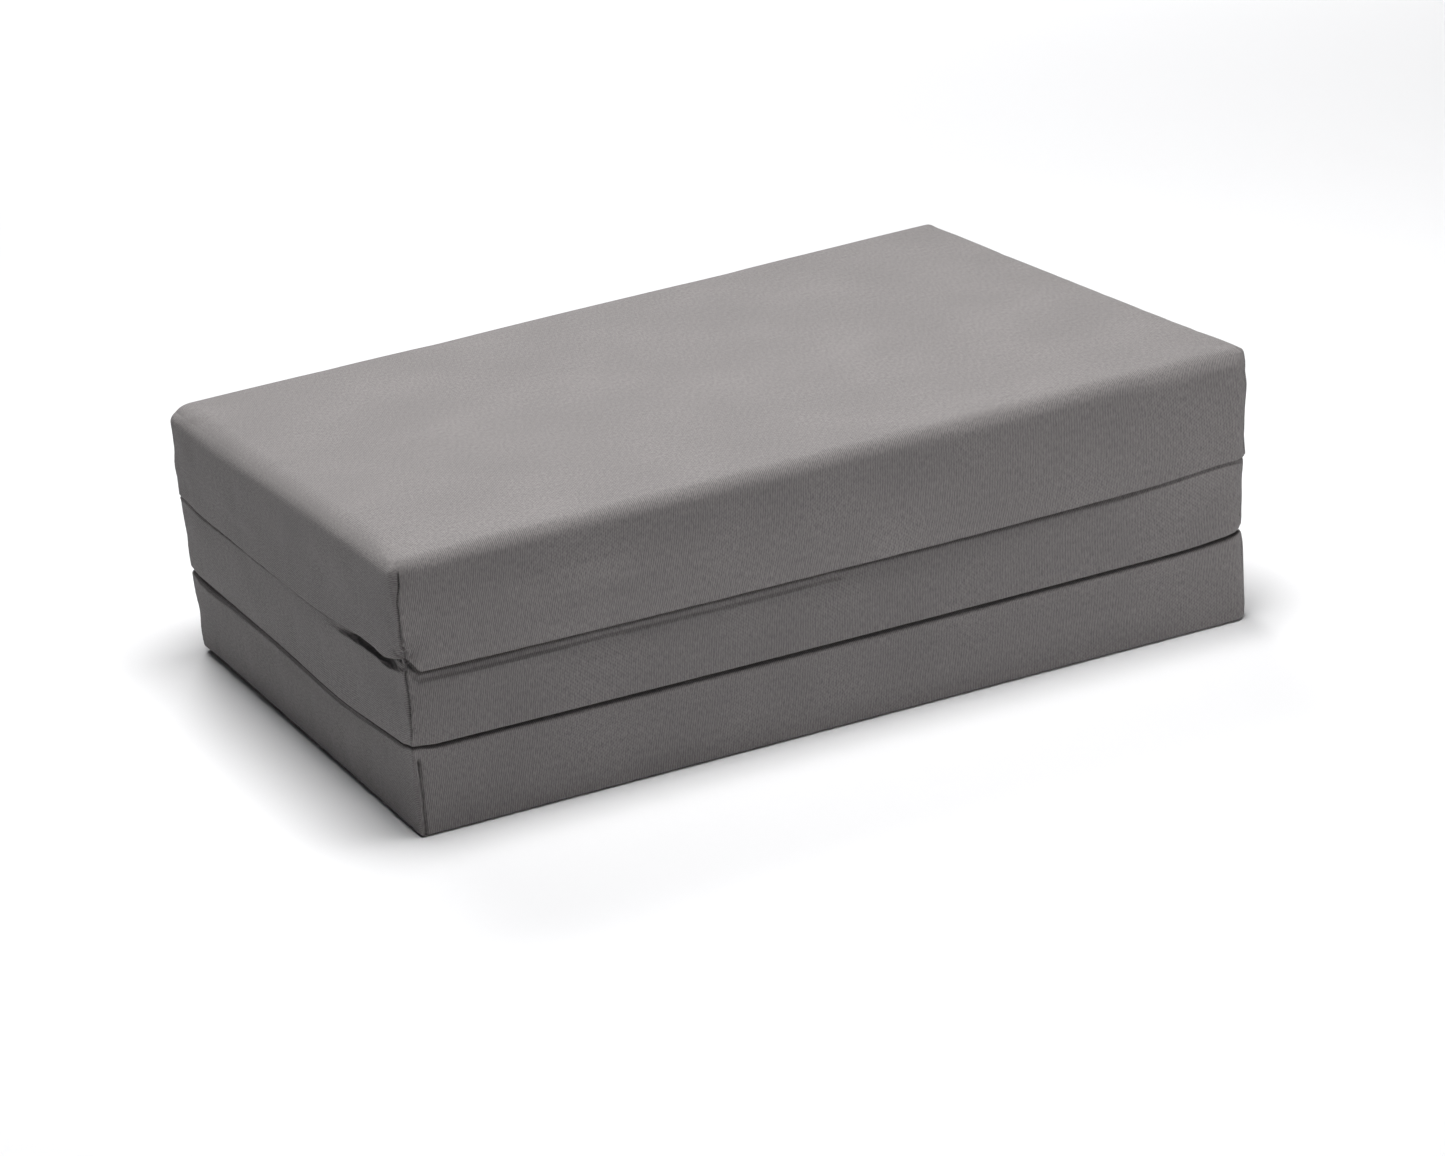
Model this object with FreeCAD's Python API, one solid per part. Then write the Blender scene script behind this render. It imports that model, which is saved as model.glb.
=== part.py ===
# Tri-fold foam mattress, folded in a Z into a stack of three panels.
#
# Each panel is a foam block in a woven cover. The cover is a shell, one cloth that wraps the
# sleeping face and the four walls, and a back sheet sewn round the shell's open rim. A coil zip
# crosses the wall at the panel's right-hand end. The middle panel is the same piece turned over.
# One fold tape joins the bottom and middle panels along the back edge, and another joins the
# middle and top panels along the front edge, so that the stack opens to a flat bed.
#
# Frame: millimetres, +Z up, +X along the panels' long side, +Y to the back.
# The origin is the middle of the bottom panel's underside.

import FreeCAD, Part
import os
from FreeCAD import Vector

# Panels, from the bottom of the stack
PANEL_NAMES = ("bottom", "middle", "top")
TURNED_OVER = "middle"
PANEL_LENGTH = 600.0
PANEL_WIDTH = 400.0
PANEL_HEIGHT = 59.2
FOLD_GAP = 1.2
PANEL_PITCH = PANEL_HEIGHT + FOLD_GAP
HALF_LENGTH = PANEL_LENGTH / 2
HALF_WIDTH = PANEL_WIDTH / 2
HALF_HEIGHT = PANEL_HEIGHT / 2

# Cover: the rim is soft at the sleeping face and tight at the back sheet's seam
CLOTH = 1.0
CORNER_RADIUS = 11.0
FACE_RIM_RADIUS = 10.0
SEAM_RIM_RADIUS = 4.0

# Foam block
FOAM_CLEARANCE = 0.4
FOAM_INSET = CLOTH + FOAM_CLEARANCE
FOAM_ZIP_INSET = 4.0

# Fold tapes: each is two legs that meet at the fold line
FOLD_LINE_OUTSET = 0.3
FOLD_TAPE_LENGTH = 580.0
FOLD_TAPE_LEG = 18.0
FOLD_TAPE_THICKNESS = 0.4
FOLD_TAPE_SETBACK = 0.15

# Zip, along Y through the wall at +X
TAPE_FACE_X = HALF_LENGTH - CLOTH
ZIP_CHAIN_LENGTH = 350.0
ZIP_SLOT_LENGTH = 360.0
ZIP_SLOT_HEIGHT = 9.0
ZIP_TAPE_LENGTH = 370.0
ZIP_TAPE_WIDTH = 12.0
ZIP_TAPE_THICKNESS = 0.6
ZIP_TAPE_SLIT = 1.8
COIL_SLIT = 1.2
COIL_WIDTH = 2.6
COIL_THICKNESS = 2.2
STOP_LENGTH = 2.6
STOP_GAP = 0.4
STOP_THICKNESS = 2.4
STOP_WIDTH = 2.6
STOP_SLIT = 1.6

# Slider, centred on the zip's line
SLIDER_LENGTH = 11.0
SLIDER_WIDTH = 8.4
SLIDER_CLEARANCE = 0.4
SLIDER_END_GAP = 0.1
SLIDER_PLATE = 1.2
SLIDER_BACK_PLATE = 1.1
SLIDER_PLAN_RADIUS = 2.0
FLANGE_WIDTH = 0.7
FLANGE_DROP = 2.0
DIVIDER_WIDTH = 0.7
DIVIDER_LENGTH = 3.0
DIVIDER_SETBACK = 1.0
BRIDGE_LENGTH = 7.4
BRIDGE_WIDTH = 2.2
BRIDGE_THICKNESS = 1.0
BRIDGE_OPENING = 2.0
BRIDGE_RADIUS = 1.2
BRIDGE_ROOT = 0.2
SLIDER_FRONT_X = TAPE_FACE_X + COIL_THICKNESS + SLIDER_CLEARANCE
SLIDER_BACK_X = TAPE_FACE_X - ZIP_TAPE_THICKNESS - SLIDER_CLEARANCE
BRIDGE_X = SLIDER_FRONT_X + SLIDER_PLATE
SLIDER_REST_Y = ZIP_CHAIN_LENGTH / 2 - SLIDER_LENGTH / 2 - SLIDER_END_GAP

# Pull tab, lying along the closed chain with its pin in the middle of the bridge's opening
PULL_PIN_X = BRIDGE_X + BRIDGE_OPENING / 2
PULL_PIN_RADIUS = 0.7
PULL_THICKNESS = 1.2
PULL_WIDTH = 6.6
PULL_LENGTH = 26.0
PULL_ARM_WIDTH = 1.3
PULL_WINDOW_END = 4.8
PULL_SLOT_START = 9.0
PULL_SLOT_END = 18.0
PULL_SLOT_WIDTH = 2.6
ROUND_END_FLAT = 0.1

# Directions and tolerances
ALONG_X = Vector(1, 0, 0)
ALONG_Z = Vector(0, 0, 1)
HALF_TURN = 180.0
PARALLEL = 0.9
SAME_PLACE = 1e-6
FACE_SIDE = 1
BACK_SIDE = -1


def box(x_range, y_range, z_range):
    """A block between three pairs of limits."""
    sizes = [high - low for low, high in (x_range, y_range, z_range)]
    return Part.makeBox(*sizes, Vector(x_range[0], y_range[0], z_range[0]))


def both_ways(half):
    """The range that reaches the same distance to each side of zero."""
    return (-half, half)


def on_side(limits, side):
    """The same range, on the positive or negative side of zero."""
    return tuple(sorted(side * limit for limit in limits))


def edges_along(shape, direction):
    """The shape's straight edges that run along a direction."""
    return [
        edge
        for edge in shape.Edges
        if abs(edge.tangentAt(edge.FirstParameter).dot(direction)) > PARALLEL
    ]


def rim_at(shape, z):
    """The edges that lie in the level plane at z."""
    return [
        edge
        for edge in shape.Edges
        if all(abs(vertex.Z - z) < SAME_PLACE for vertex in edge.Vertexes)
    ]


def soft_block(x_range, inset):
    """A panel's block, drawn in by an inset, with round corners, a soft rim and a tight one."""
    z_range = both_ways(HALF_HEIGHT - inset)
    block = box(x_range, both_ways(HALF_WIDTH - inset), z_range)
    block = block.makeFillet(CORNER_RADIUS - inset, edges_along(block, ALONG_Z))
    block = block.makeFillet(FACE_RIM_RADIUS - inset, rim_at(block, z_range[1]))
    return block.makeFillet(SEAM_RIM_RADIUS - inset, rim_at(block, z_range[0]))


def cover():
    """The cover's shell and its back sheet, which lies under the foam."""
    outside = soft_block(both_ways(HALF_LENGTH), 0.0)
    inside = soft_block(both_ways(HALF_LENGTH - CLOTH), CLOTH)
    back_layer = box(
        both_ways(HALF_LENGTH),
        both_ways(HALF_WIDTH),
        (-HALF_HEIGHT, -HALF_HEIGHT + CLOTH),
    )
    slot = box(
        (HALF_LENGTH - 2 * CLOTH, HALF_LENGTH + CLOTH),
        both_ways(ZIP_SLOT_LENGTH / 2),
        both_ways(ZIP_SLOT_HEIGHT / 2),
    )
    shell = outside.cut(inside).cut(back_layer).cut(slot)
    return shell, outside.common(back_layer)


def foam_block():
    """The foam, a little smaller than the cover's inside and set back from the zip."""
    return soft_block((-HALF_LENGTH + FOAM_INSET, HALF_LENGTH - FOAM_ZIP_INSET), FOAM_INSET)


def zip_tape(side):
    """One woven tape, sewn behind the wall beside the slot."""
    return box(
        (TAPE_FACE_X - ZIP_TAPE_THICKNESS, TAPE_FACE_X),
        both_ways(ZIP_TAPE_LENGTH / 2),
        on_side((ZIP_TAPE_SLIT / 2, ZIP_TAPE_SLIT / 2 + ZIP_TAPE_WIDTH), side),
    )


def zip_coil(side):
    """One half of the coil chain, standing on its tape."""
    return box(
        (TAPE_FACE_X, TAPE_FACE_X + COIL_THICKNESS),
        both_ways(ZIP_CHAIN_LENGTH / 2),
        on_side((COIL_SLIT / 2, COIL_SLIT / 2 + COIL_WIDTH), side),
    )


def zip_stops():
    """Two stops at the closed end, one on each tape, and one across both at the open end."""
    depth = (TAPE_FACE_X, TAPE_FACE_X + STOP_THICKNESS)
    start = ZIP_CHAIN_LENGTH / 2 + STOP_GAP
    closed_end = (start, start + STOP_LENGTH)
    half = (STOP_SLIT / 2, STOP_SLIT / 2 + STOP_WIDTH)
    top_stops = [box(depth, closed_end, on_side(half, side)) for side in (FACE_SIDE, BACK_SIDE)]
    bottom_stop = box(depth, on_side(closed_end, -1), both_ways(half[1]))
    return Part.makeCompound([*top_stops, bottom_stop])


def slider_plate(x_range):
    """One of the slider's two plates, with its corners rounded in plan."""
    plate = box(x_range, both_ways(SLIDER_LENGTH / 2), both_ways(SLIDER_WIDTH / 2))
    return plate.makeFillet(SLIDER_PLAN_RADIUS, edges_along(plate, ALONG_X))


def slider_bridge():
    """The arch on the slider's front plate that holds the pull's pin."""
    crown_x = BRIDGE_X + BRIDGE_OPENING + BRIDGE_THICKNESS
    across = both_ways(BRIDGE_WIDTH / 2)
    block = box((BRIDGE_X - BRIDGE_ROOT, crown_x), both_ways(BRIDGE_LENGTH / 2), across)
    crown = [edge for edge in edges_along(block, ALONG_Z) if edge.Vertexes[0].X > BRIDGE_X]
    opening = box(
        (BRIDGE_X, BRIDGE_X + BRIDGE_OPENING),
        both_ways(BRIDGE_LENGTH / 2 - BRIDGE_THICKNESS),
        across,
    )
    return block.makeFillet(BRIDGE_RADIUS, crown).cut(opening)


def slider_flange(side):
    """The lip along one side of the front plate, which keeps the coil in."""
    return box(
        (SLIDER_FRONT_X - FLANGE_DROP, SLIDER_FRONT_X),
        both_ways(SLIDER_LENGTH / 2 - SLIDER_PLAN_RADIUS),
        on_side((SLIDER_WIDTH / 2 - FLANGE_WIDTH, SLIDER_WIDTH / 2), side),
    )


def zip_slider():
    """The slider at its rest place: two plates on a thin divider, two flanges and the bridge."""
    front = slider_plate((SLIDER_FRONT_X, SLIDER_FRONT_X + SLIDER_PLATE))
    back = slider_plate((SLIDER_BACK_X - SLIDER_BACK_PLATE, SLIDER_BACK_X))
    divider_end = SLIDER_LENGTH / 2 - DIVIDER_SETBACK
    divider = box(
        (SLIDER_BACK_X, SLIDER_FRONT_X),
        (divider_end - DIVIDER_LENGTH, divider_end),
        both_ways(DIVIDER_WIDTH / 2),
    )
    flanges = [slider_flange(side) for side in (FACE_SIDE, BACK_SIDE)]
    slider = front.fuse([back, divider, slider_bridge(), *flanges]).removeSplitter()
    slider.translate(Vector(0, SLIDER_REST_Y, 0))
    return slider


def zip_pull():
    """The pull tab: a pin between two arms, and a long tab with a slot, pointing to -Y."""
    depth = both_ways(PULL_THICKNESS / 2)
    half_width = PULL_WIDTH / 2
    tab = box(depth, (-PULL_LENGTH, 0.0), both_ways(half_width))
    far_corners = [
        edge for edge in edges_along(tab, ALONG_X) if edge.Vertexes[0].Y < -PULL_SLOT_END
    ]
    tab = tab.makeFillet(half_width - ROUND_END_FLAT, far_corners)
    window = box(depth, (-PULL_WINDOW_END, PULL_PIN_RADIUS), both_ways(half_width - PULL_ARM_WIDTH))
    slot = box(depth, (-PULL_SLOT_END, -PULL_SLOT_START), both_ways(PULL_SLOT_WIDTH / 2))
    slot = slot.makeFillet(PULL_SLOT_WIDTH / 2 - ROUND_END_FLAT, edges_along(slot, ALONG_X))
    pin = Part.makeCylinder(PULL_PIN_RADIUS, PULL_WIDTH, Vector(0, 0, -half_width), ALONG_Z)
    pull = tab.cut(window).cut(slot).fuse(pin).removeSplitter()
    pull.translate(Vector(PULL_PIN_X, SLIDER_REST_Y, 0))
    return pull


def panel_pieces():
    """Every piece of one panel, centred on the origin with its sleeping face up."""
    shell, back_sheet = cover()
    return {
        "foam_block": foam_block(),
        "cover_shell": shell,
        "cover_back_sheet": back_sheet,
        "zip_tape_face_side": zip_tape(FACE_SIDE),
        "zip_tape_back_side": zip_tape(BACK_SIDE),
        "zip_coil_face_side": zip_coil(FACE_SIDE),
        "zip_coil_back_side": zip_coil(BACK_SIDE),
        "zip_stops": zip_stops(),
        "zip_slider": zip_slider(),
        "zip_pull": zip_pull(),
    }


def panel_base(index):
    """Height of a panel's lower face in the stack."""
    return index * PANEL_PITCH


def panel_nodes(index, name):
    """One panel's pieces at their place in the stack, by node name."""
    nodes = {}
    for piece, shape in panel_pieces().items():
        if name == TURNED_OVER:
            shape.rotate(Vector(0, 0, 0), ALONG_X, HALF_TURN)
        shape.translate(Vector(0, 0, panel_base(index) + HALF_HEIGHT))
        nodes[f"{name}_{piece}"] = shape
    return nodes


def fold_tape_leg(side, lower_z):
    """One leg of a fold tape, lying on a panel's face from the fold line inwards."""
    outer = HALF_WIDTH + FOLD_LINE_OUTSET - FOLD_TAPE_SETBACK
    return box(
        both_ways(FOLD_TAPE_LENGTH / 2),
        on_side((outer - FOLD_TAPE_LEG, outer), side),
        (lower_z, lower_z + FOLD_TAPE_THICKNESS),
    )


def fold_tape_nodes():
    """The two legs of the tape at the back, then of the tape at the front, by node name."""
    at_back = 1
    at_front = -1
    return {
        "back_fold_tape_bottom_leg": fold_tape_leg(at_back, panel_base(0) + PANEL_HEIGHT),
        "back_fold_tape_middle_leg": fold_tape_leg(at_back, panel_base(1) - FOLD_TAPE_THICKNESS),
        "front_fold_tape_middle_leg": fold_tape_leg(at_front, panel_base(1) + PANEL_HEIGHT),
        "front_fold_tape_top_leg": fold_tape_leg(at_front, panel_base(2) - FOLD_TAPE_THICKNESS),
    }


def main():
    """Builds every node and writes one STEP file for each."""
    nodes = fold_tape_nodes()
    for index, name in enumerate(PANEL_NAMES):
        nodes.update(panel_nodes(index, name))
    os.makedirs("parts", exist_ok=True)
    for name, shape in nodes.items():
        if not shape.isValid() or shape.Volume <= 0:
            raise ValueError(f"{name} isn't a valid solid")
        shape.exportStep(f"parts/{name}.step")
    FreeCAD.Console.PrintMessage(f"{len(nodes)} nodes written\n")


main()
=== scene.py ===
"""Looks of the tri-fold foam mattress: three padded covers, their seams, folds and zips.

Lengths in the classes are millimetres in the frame of the folded stack, as the names of the
constants say, and are turned to metres when a mesh is made. The frame's box, nodes and bodies
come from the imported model.
"""

import logging
import math
from dataclasses import dataclass, field, replace
from enum import Enum
from typing import Sequence

import bpy
import numpy as np
from mathutils import Matrix, Vector


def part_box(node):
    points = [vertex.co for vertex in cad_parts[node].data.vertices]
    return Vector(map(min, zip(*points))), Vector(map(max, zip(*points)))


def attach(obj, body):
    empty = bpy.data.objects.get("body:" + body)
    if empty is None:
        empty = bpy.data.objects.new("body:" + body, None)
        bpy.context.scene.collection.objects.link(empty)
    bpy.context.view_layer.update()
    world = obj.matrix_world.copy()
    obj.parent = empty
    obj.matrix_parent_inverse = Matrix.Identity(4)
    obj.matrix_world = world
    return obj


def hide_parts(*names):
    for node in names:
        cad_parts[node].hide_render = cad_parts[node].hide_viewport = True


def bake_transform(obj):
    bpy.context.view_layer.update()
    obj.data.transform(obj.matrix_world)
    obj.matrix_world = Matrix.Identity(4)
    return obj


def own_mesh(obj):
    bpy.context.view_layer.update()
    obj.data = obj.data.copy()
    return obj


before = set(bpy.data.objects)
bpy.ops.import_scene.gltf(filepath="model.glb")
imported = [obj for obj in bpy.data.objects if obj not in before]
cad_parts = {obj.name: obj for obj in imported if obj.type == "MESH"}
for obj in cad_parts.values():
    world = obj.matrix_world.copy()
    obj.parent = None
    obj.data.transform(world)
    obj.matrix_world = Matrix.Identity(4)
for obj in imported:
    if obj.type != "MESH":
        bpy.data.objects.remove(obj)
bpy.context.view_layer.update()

MM = 0.001
TAU = 2 * math.pi
LOG = logging.getLogger("mattress")

Array = np.ndarray


# --------------------------------------------------------------------------- small helpers


def smooth(value: Array, start: float, end: float) -> Array:
    """Eases from 0 at start to 1 at end: t squared times (3 minus 2 t).

    Args:
        value: Where to read the ease.
        start: Value that gives 0.
        end: Value that gives 1.

    Returns:
        The ease, of the value's shape.
    """
    t = np.clip((value - start) / (end - start), 0.0, 1.0)
    return t * t * (3 - 2 * t)


def bell(value: Array, centre: float, reach: float) -> Array:
    """A bell curve: e to the minus square of the distance from centre over reach."""
    return np.exp(-(((value - centre) / reach) ** 2))


def linear(hex_colour: str) -> tuple[float, float, float, float]:
    """Turns an sRGB hex colour to a linear RGBA one.

    Args:
        hex_colour: Six hex digits.

    Returns:
        Linear red, green and blue, and an alpha of 1.
    """
    parts = [int(hex_colour[i : i + 2], 16) / 255 for i in (0, 2, 4)]
    rgb = [p / 12.92 if p <= 0.04045 else ((p + 0.055) / 1.055) ** 2.4 for p in parts]
    return (*rgb, 1.0)


def ripple(x: Array, y: Array, pitch: float, seed: int, waves: int = 7) -> Array:
    """Soft unevenness: a sum of sines of x and y in seeded directions and phases.

    Args:
        x: First coordinate, in mm.
        y: Second coordinate, in mm.
        pitch: Typical wavelength, in mm.
        seed: Seed of the directions and phases.
        waves: How many sines are added.

    Returns:
        Values of about -1 to 1.
    """
    rng = np.random.default_rng(seed)
    total = np.zeros_like(x)
    for _ in range(waves):
        angle, phase = rng.uniform(0, TAU, 2)
        length = pitch * rng.uniform(0.7, 1.6)
        total += np.sin(TAU * (x * math.cos(angle) + y * math.sin(angle)) / length + phase)
    return total / math.sqrt(2 * waves)


def make_object(
    name: str, points: Array, faces: Array, uv: Array | None = None
) -> bpy.types.Object:
    """Makes a smooth mesh object at the origin.

    Args:
        name: The piece's name.
        points: Vertices in mm, one row each.
        faces: Quads as rows of four indices.
        uv: Optional cloth coordinates in metres, one row for each face corner.

    Returns:
        The new object, linked to the scene.
    """
    mesh = bpy.data.meshes.new(name)
    mesh.vertices.add(len(points))
    mesh.vertices.foreach_set("co", (points * MM).astype(np.float32).ravel())
    mesh.loops.add(faces.size)
    mesh.loops.foreach_set("vertex_index", faces.astype(np.int32).ravel())
    mesh.polygons.add(len(faces))
    mesh.polygons.foreach_set("loop_start", np.arange(0, faces.size, 4, dtype=np.int32))
    mesh.update(calc_edges=True)
    mesh.polygons.foreach_set("use_smooth", np.ones(len(faces), bool))
    if uv is not None:
        layer = mesh.uv_layers.new(name="cloth")
        layer.data.foreach_set("uv", uv.astype(np.float32).ravel())
    mesh.validate()
    made = bpy.data.objects.new(name, mesh)
    bpy.context.scene.collection.objects.link(made)
    return made


def vertex_normals(points: Array, faces: Array) -> Array:
    """Outward normals: each quad's diagonal cross product, summed at its corners.

    Args:
        points: Vertices, one row each.
        faces: Quads as rows of four indices.

    Returns:
        A unit normal for each vertex.
    """
    a, b, c, d = (points[faces[:, i]] for i in range(4))
    face_normal = np.cross(c - a, d - b)
    total = np.zeros_like(points)
    for i in range(4):
        np.add.at(total, faces[:, i], face_normal)
    return total / np.maximum(np.linalg.norm(total, axis=1, keepdims=True), 1e-12)


def tube_faces(rings: int, around: int) -> Array:
    """Quads of a tube whose rings of points follow one another, with both ends shut.

    Args:
        rings: How many rings there are.
        around: Points in each ring, an even number.

    Returns:
        Rows of four indices.
    """
    ring, step = np.meshgrid(np.arange(rings - 1), np.arange(around), indexing="ij")
    after = (step + 1) % around
    low, high = ring * around, (ring + 1) * around
    quads = np.stack([low + step, low + after, high + after, high + step], -1).reshape(-1, 4)
    i = np.arange(around // 2 - 1)
    cap = np.stack([i, around - 1 - i, around - 2 - i, i + 1], -1)
    return np.concatenate([quads, cap, cap[:, ::-1] + (rings - 1) * around])


def tube_points(path: Array, side: Array, radii: Array, around: int) -> Array:
    """Rings round a flat path: path plus radius times (cos a times side plus sin a times across).

    Across is square to both the path's own direction and side.

    Args:
        path: Points along the path, in mm.
        side: Unit direction that is square to the whole path.
        radii: The tube's radius at each point.
        around: Points in each ring.

    Returns:
        An array of rings by points by 3.
    """
    along = np.gradient(path, axis=0)
    along /= np.linalg.norm(along, axis=1, keepdims=True)
    across = np.cross(along, side)
    angle = np.linspace(0, TAU, around, endpoint=False)[:, None]
    rings = np.cos(angle) * side + np.sin(angle) * across[:, None, :]
    return path[:, None, :] + radii[:, None, None] * rings


def repeated(template: Array, faces: Array, places: Array) -> tuple[Array, Array]:
    """Copies of a template, moved to each place, as one set of points and quads.

    Args:
        template: The template's points.
        faces: The template's quads.
        places: Where the copies go, one row each.

    Returns:
        All points, and all quads.
    """
    points = (places[:, None, :] + template[None]).reshape(-1, 3)
    shift = np.arange(len(places))[:, None, None] * len(template)
    return points, (faces[None] + shift).reshape(-1, 4)


def outward(points: Array, faces: Array) -> Array:
    """The quads, turned round if the volume that they enclose comes out negative.

    The volume is a sixth of the sum of each triangle's corners' triple product.

    Args:
        points: Vertices, one row each.
        faces: Quads as rows of four indices.

    Returns:
        The same array, or the turned quads.
    """
    a, b, c, d = (points[faces[:, i]] for i in range(4))
    volume = np.einsum("ij,ij->i", a, np.cross(b, c)) + np.einsum("ij,ij->i", a, np.cross(c, d))
    return faces if volume.sum() >= 0 else faces[:, ::-1]


def node_box(node: str) -> tuple[Array, Array]:
    """Lowest and highest corner of a node of the design, in mm."""
    low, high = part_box(node)
    return np.array(low) / MM, np.array(high) / MM


def dress(
    piece: bpy.types.Object, finish: bpy.types.Material, body: str
) -> bpy.types.Object:
    """Gives a piece its material and the body that it rides on.

    Args:
        piece: The piece.
        finish: Its material.
        body: The body that carries it.

    Returns:
        The piece.
    """
    piece.data.materials.clear()
    piece.data.materials.append(finish)
    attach(piece, body)
    return piece


# --------------------------------------------------------------------------- finishes


def add_node(
    tree: bpy.types.NodeTree, kind: str, links: dict | None = None, **settings: object
) -> bpy.types.Node:
    """Adds a shader node.

    Args:
        tree: The node tree.
        kind: The node's type name, without its ShaderNode prefix.
        links: Input name or index to an output socket that feeds it, or to a plain value.
        **settings: Properties of the node.

    Returns:
        The node.
    """
    node = tree.nodes.new("ShaderNode" + kind)
    for key, value in settings.items():
        setattr(node, key, value)
    for key, value in (links or {}).items():
        if isinstance(value, bpy.types.NodeSocket):
            tree.links.new(value, node.inputs[key])
        else:
            node.inputs[key].default_value = value
    return node


def new_material(
    name: str, values: dict[str, float]
) -> tuple[bpy.types.Material, bpy.types.NodeTree, bpy.types.Node]:
    """Starts a node material with a Principled shader.

    Args:
        name: The material's name.
        values: The shader's inputs that are plain numbers.

    Returns:
        The material, its node tree and its shader.
    """
    made = bpy.data.materials.new(name)
    made.use_nodes = True
    made.node_tree.nodes.clear()
    shader = add_node(made.node_tree, "BsdfPrincipled", values)
    add_node(made.node_tree, "OutputMaterial", {"Surface": shader.outputs[0]})
    return made, made.node_tree, shader


def tint_and_emboss(
    tree: bpy.types.NodeTree,
    shader: bpy.types.Node,
    tint_by: bpy.types.NodeSocket,
    tones: Sequence[tuple[float, str]],
    height: bpy.types.NodeSocket,
    strength: float,
    depth_mm: float,
) -> None:
    """Gives a shader a colour that follows one pattern, and a bump that follows another.

    Args:
        tree: The node tree.
        shader: The Principled shader.
        tint_by: The pattern that mixes the two tones.
        tones: For the dark and the light tone, the pattern's value there and the hex colour.
        height: The pattern that gives the surface's height.
        strength: How much of the bump shows.
        depth_mm: How deep the bump is.
    """
    tint = add_node(tree, "ValToRGB", {"Fac": tint_by})
    for stop, (place, colour) in zip(tint.color_ramp.elements, tones):
        stop.position, stop.color = place, linear(colour)
    bump = add_node(tree, "Bump", {"Height": height, "Strength": strength, "Distance": depth_mm * MM})
    tree.links.new(tint.outputs[0], shader.inputs["Base Color"])
    tree.links.new(bump.outputs[0], shader.inputs["Normal"])


def band_scale(pitch_mm: float) -> float:
    """The Wave texture's scale for bands this far apart: its phase is 20 times the coordinate."""
    return TAU / 20 / (pitch_mm * MM)


@dataclass(frozen=True)
class TwillCloth:
    """Polyester twill, piece-dyed a warm grey. To the eye: matt, with fine yarns and a diagonal rib.

    The real rib is about 1.6 mm and a yarn 0.4 mm. They are drawn at rib_mm and yarn_mm, so that they
    still show from three metres off. The rib shows in patches, where the cloth is pulled tight.
    """

    name: str = "polyester_twill_warm_grey"
    colour: str = "827E7D"
    shade: str = "605D5D"
    rib_mm: float = 1.9
    yarn_mm: float = 1.2
    streak_mm: tuple[float, float] = (1.3, 3.6)
    patch_mm: float = 70.0
    rib_height_mm: float = 0.12
    rib_angles: tuple[float, float] = (52.0, -52.0)
    other_rib_share: float = 0.42
    streak_share: float = 0.62
    patch_share: float = 0.12
    tones_at: tuple[float, float] = (0.37, 0.63)

    def build(self) -> bpy.types.Material:
        """Makes the material: ribs, yarns and streaks give both its tint and its bump.

        Returns:
            The material, which reads the piece's cloth coordinates.
        """
        made, tree, shader = new_material(
            self.name,
            {"Roughness": 0.82, "Specular IOR Level": 0.3, "Sheen Weight": 0.08, "Sheen Roughness": 0.45},
        )
        cloth = add_node(tree, "UVMap", uv_map="cloth").outputs[0]
        turned = [
            add_node(tree, "Mapping", {"Vector": cloth, "Rotation": (0, 0, math.radians(angle))})
            for angle in self.rib_angles
        ]
        waves = [
            (way.outputs[0], self.rib_mm, {"Distortion": 0.8, "Detail": 2.0, "Detail Scale": 2.0})
            for way in turned
        ]
        waves.append((cloth, self.yarn_mm, {"Distortion": 2.0, "Detail": 2.0, "Detail Scale": 1.5}))
        one_way, other_way, yarns = (
            add_node(tree, "TexWave", {"Vector": place, "Scale": band_scale(pitch), **rest}).outputs["Fac"]
            for place, pitch, rest in waves
        )
        across, along = (1 / (size * MM) for size in self.streak_mm)
        drawn_out = add_node(tree, "Mapping", {"Vector": cloth, "Scale": (across, along, 1.0)})
        streaks = add_node(tree, "TexNoise", {"Vector": drawn_out.outputs[0], "Scale": 1.0, "Detail": 4.0})
        patches = add_node(
            tree, "TexNoise", {"Vector": cloth, "Scale": 1 / (self.patch_mm * MM), "Detail": 1.0}
        )
        # The ribs make up 0.4 of the weave where a patch is tight, and 0.05 where it is slack.
        tight = add_node(
            tree, "MapRange", {0: patches.outputs["Fac"], 1: 0.42, 2: 0.66, 3: 0.05, 4: 0.4}
        )
        ribs = add_node(
            tree, "Mix", {"Factor": self.other_rib_share, "A": one_way, "B": other_way}, data_type="FLOAT"
        )
        weave = add_node(
            tree,
            "Mix",
            {"Factor": tight.outputs[0], "A": yarns, "B": ribs.outputs[0]},
            data_type="FLOAT",
        )
        height = add_node(
            tree,
            "Mix",
            {"Factor": self.streak_share, "A": weave.outputs[0], "B": streaks.outputs["Fac"]},
            data_type="FLOAT",
        )
        uneven = add_node(
            tree,
            "Mix",
            {"Factor": self.patch_share, "A": height.outputs[0], "B": patches.outputs["Fac"]},
            data_type="FLOAT",
        )
        tones = tuple(zip(self.tones_at, (self.shade, self.colour)))
        tint_and_emboss(tree, shader, uneven.outputs[0], tones, height.outputs[0], 0.6, self.rib_height_mm)
        return made


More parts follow.
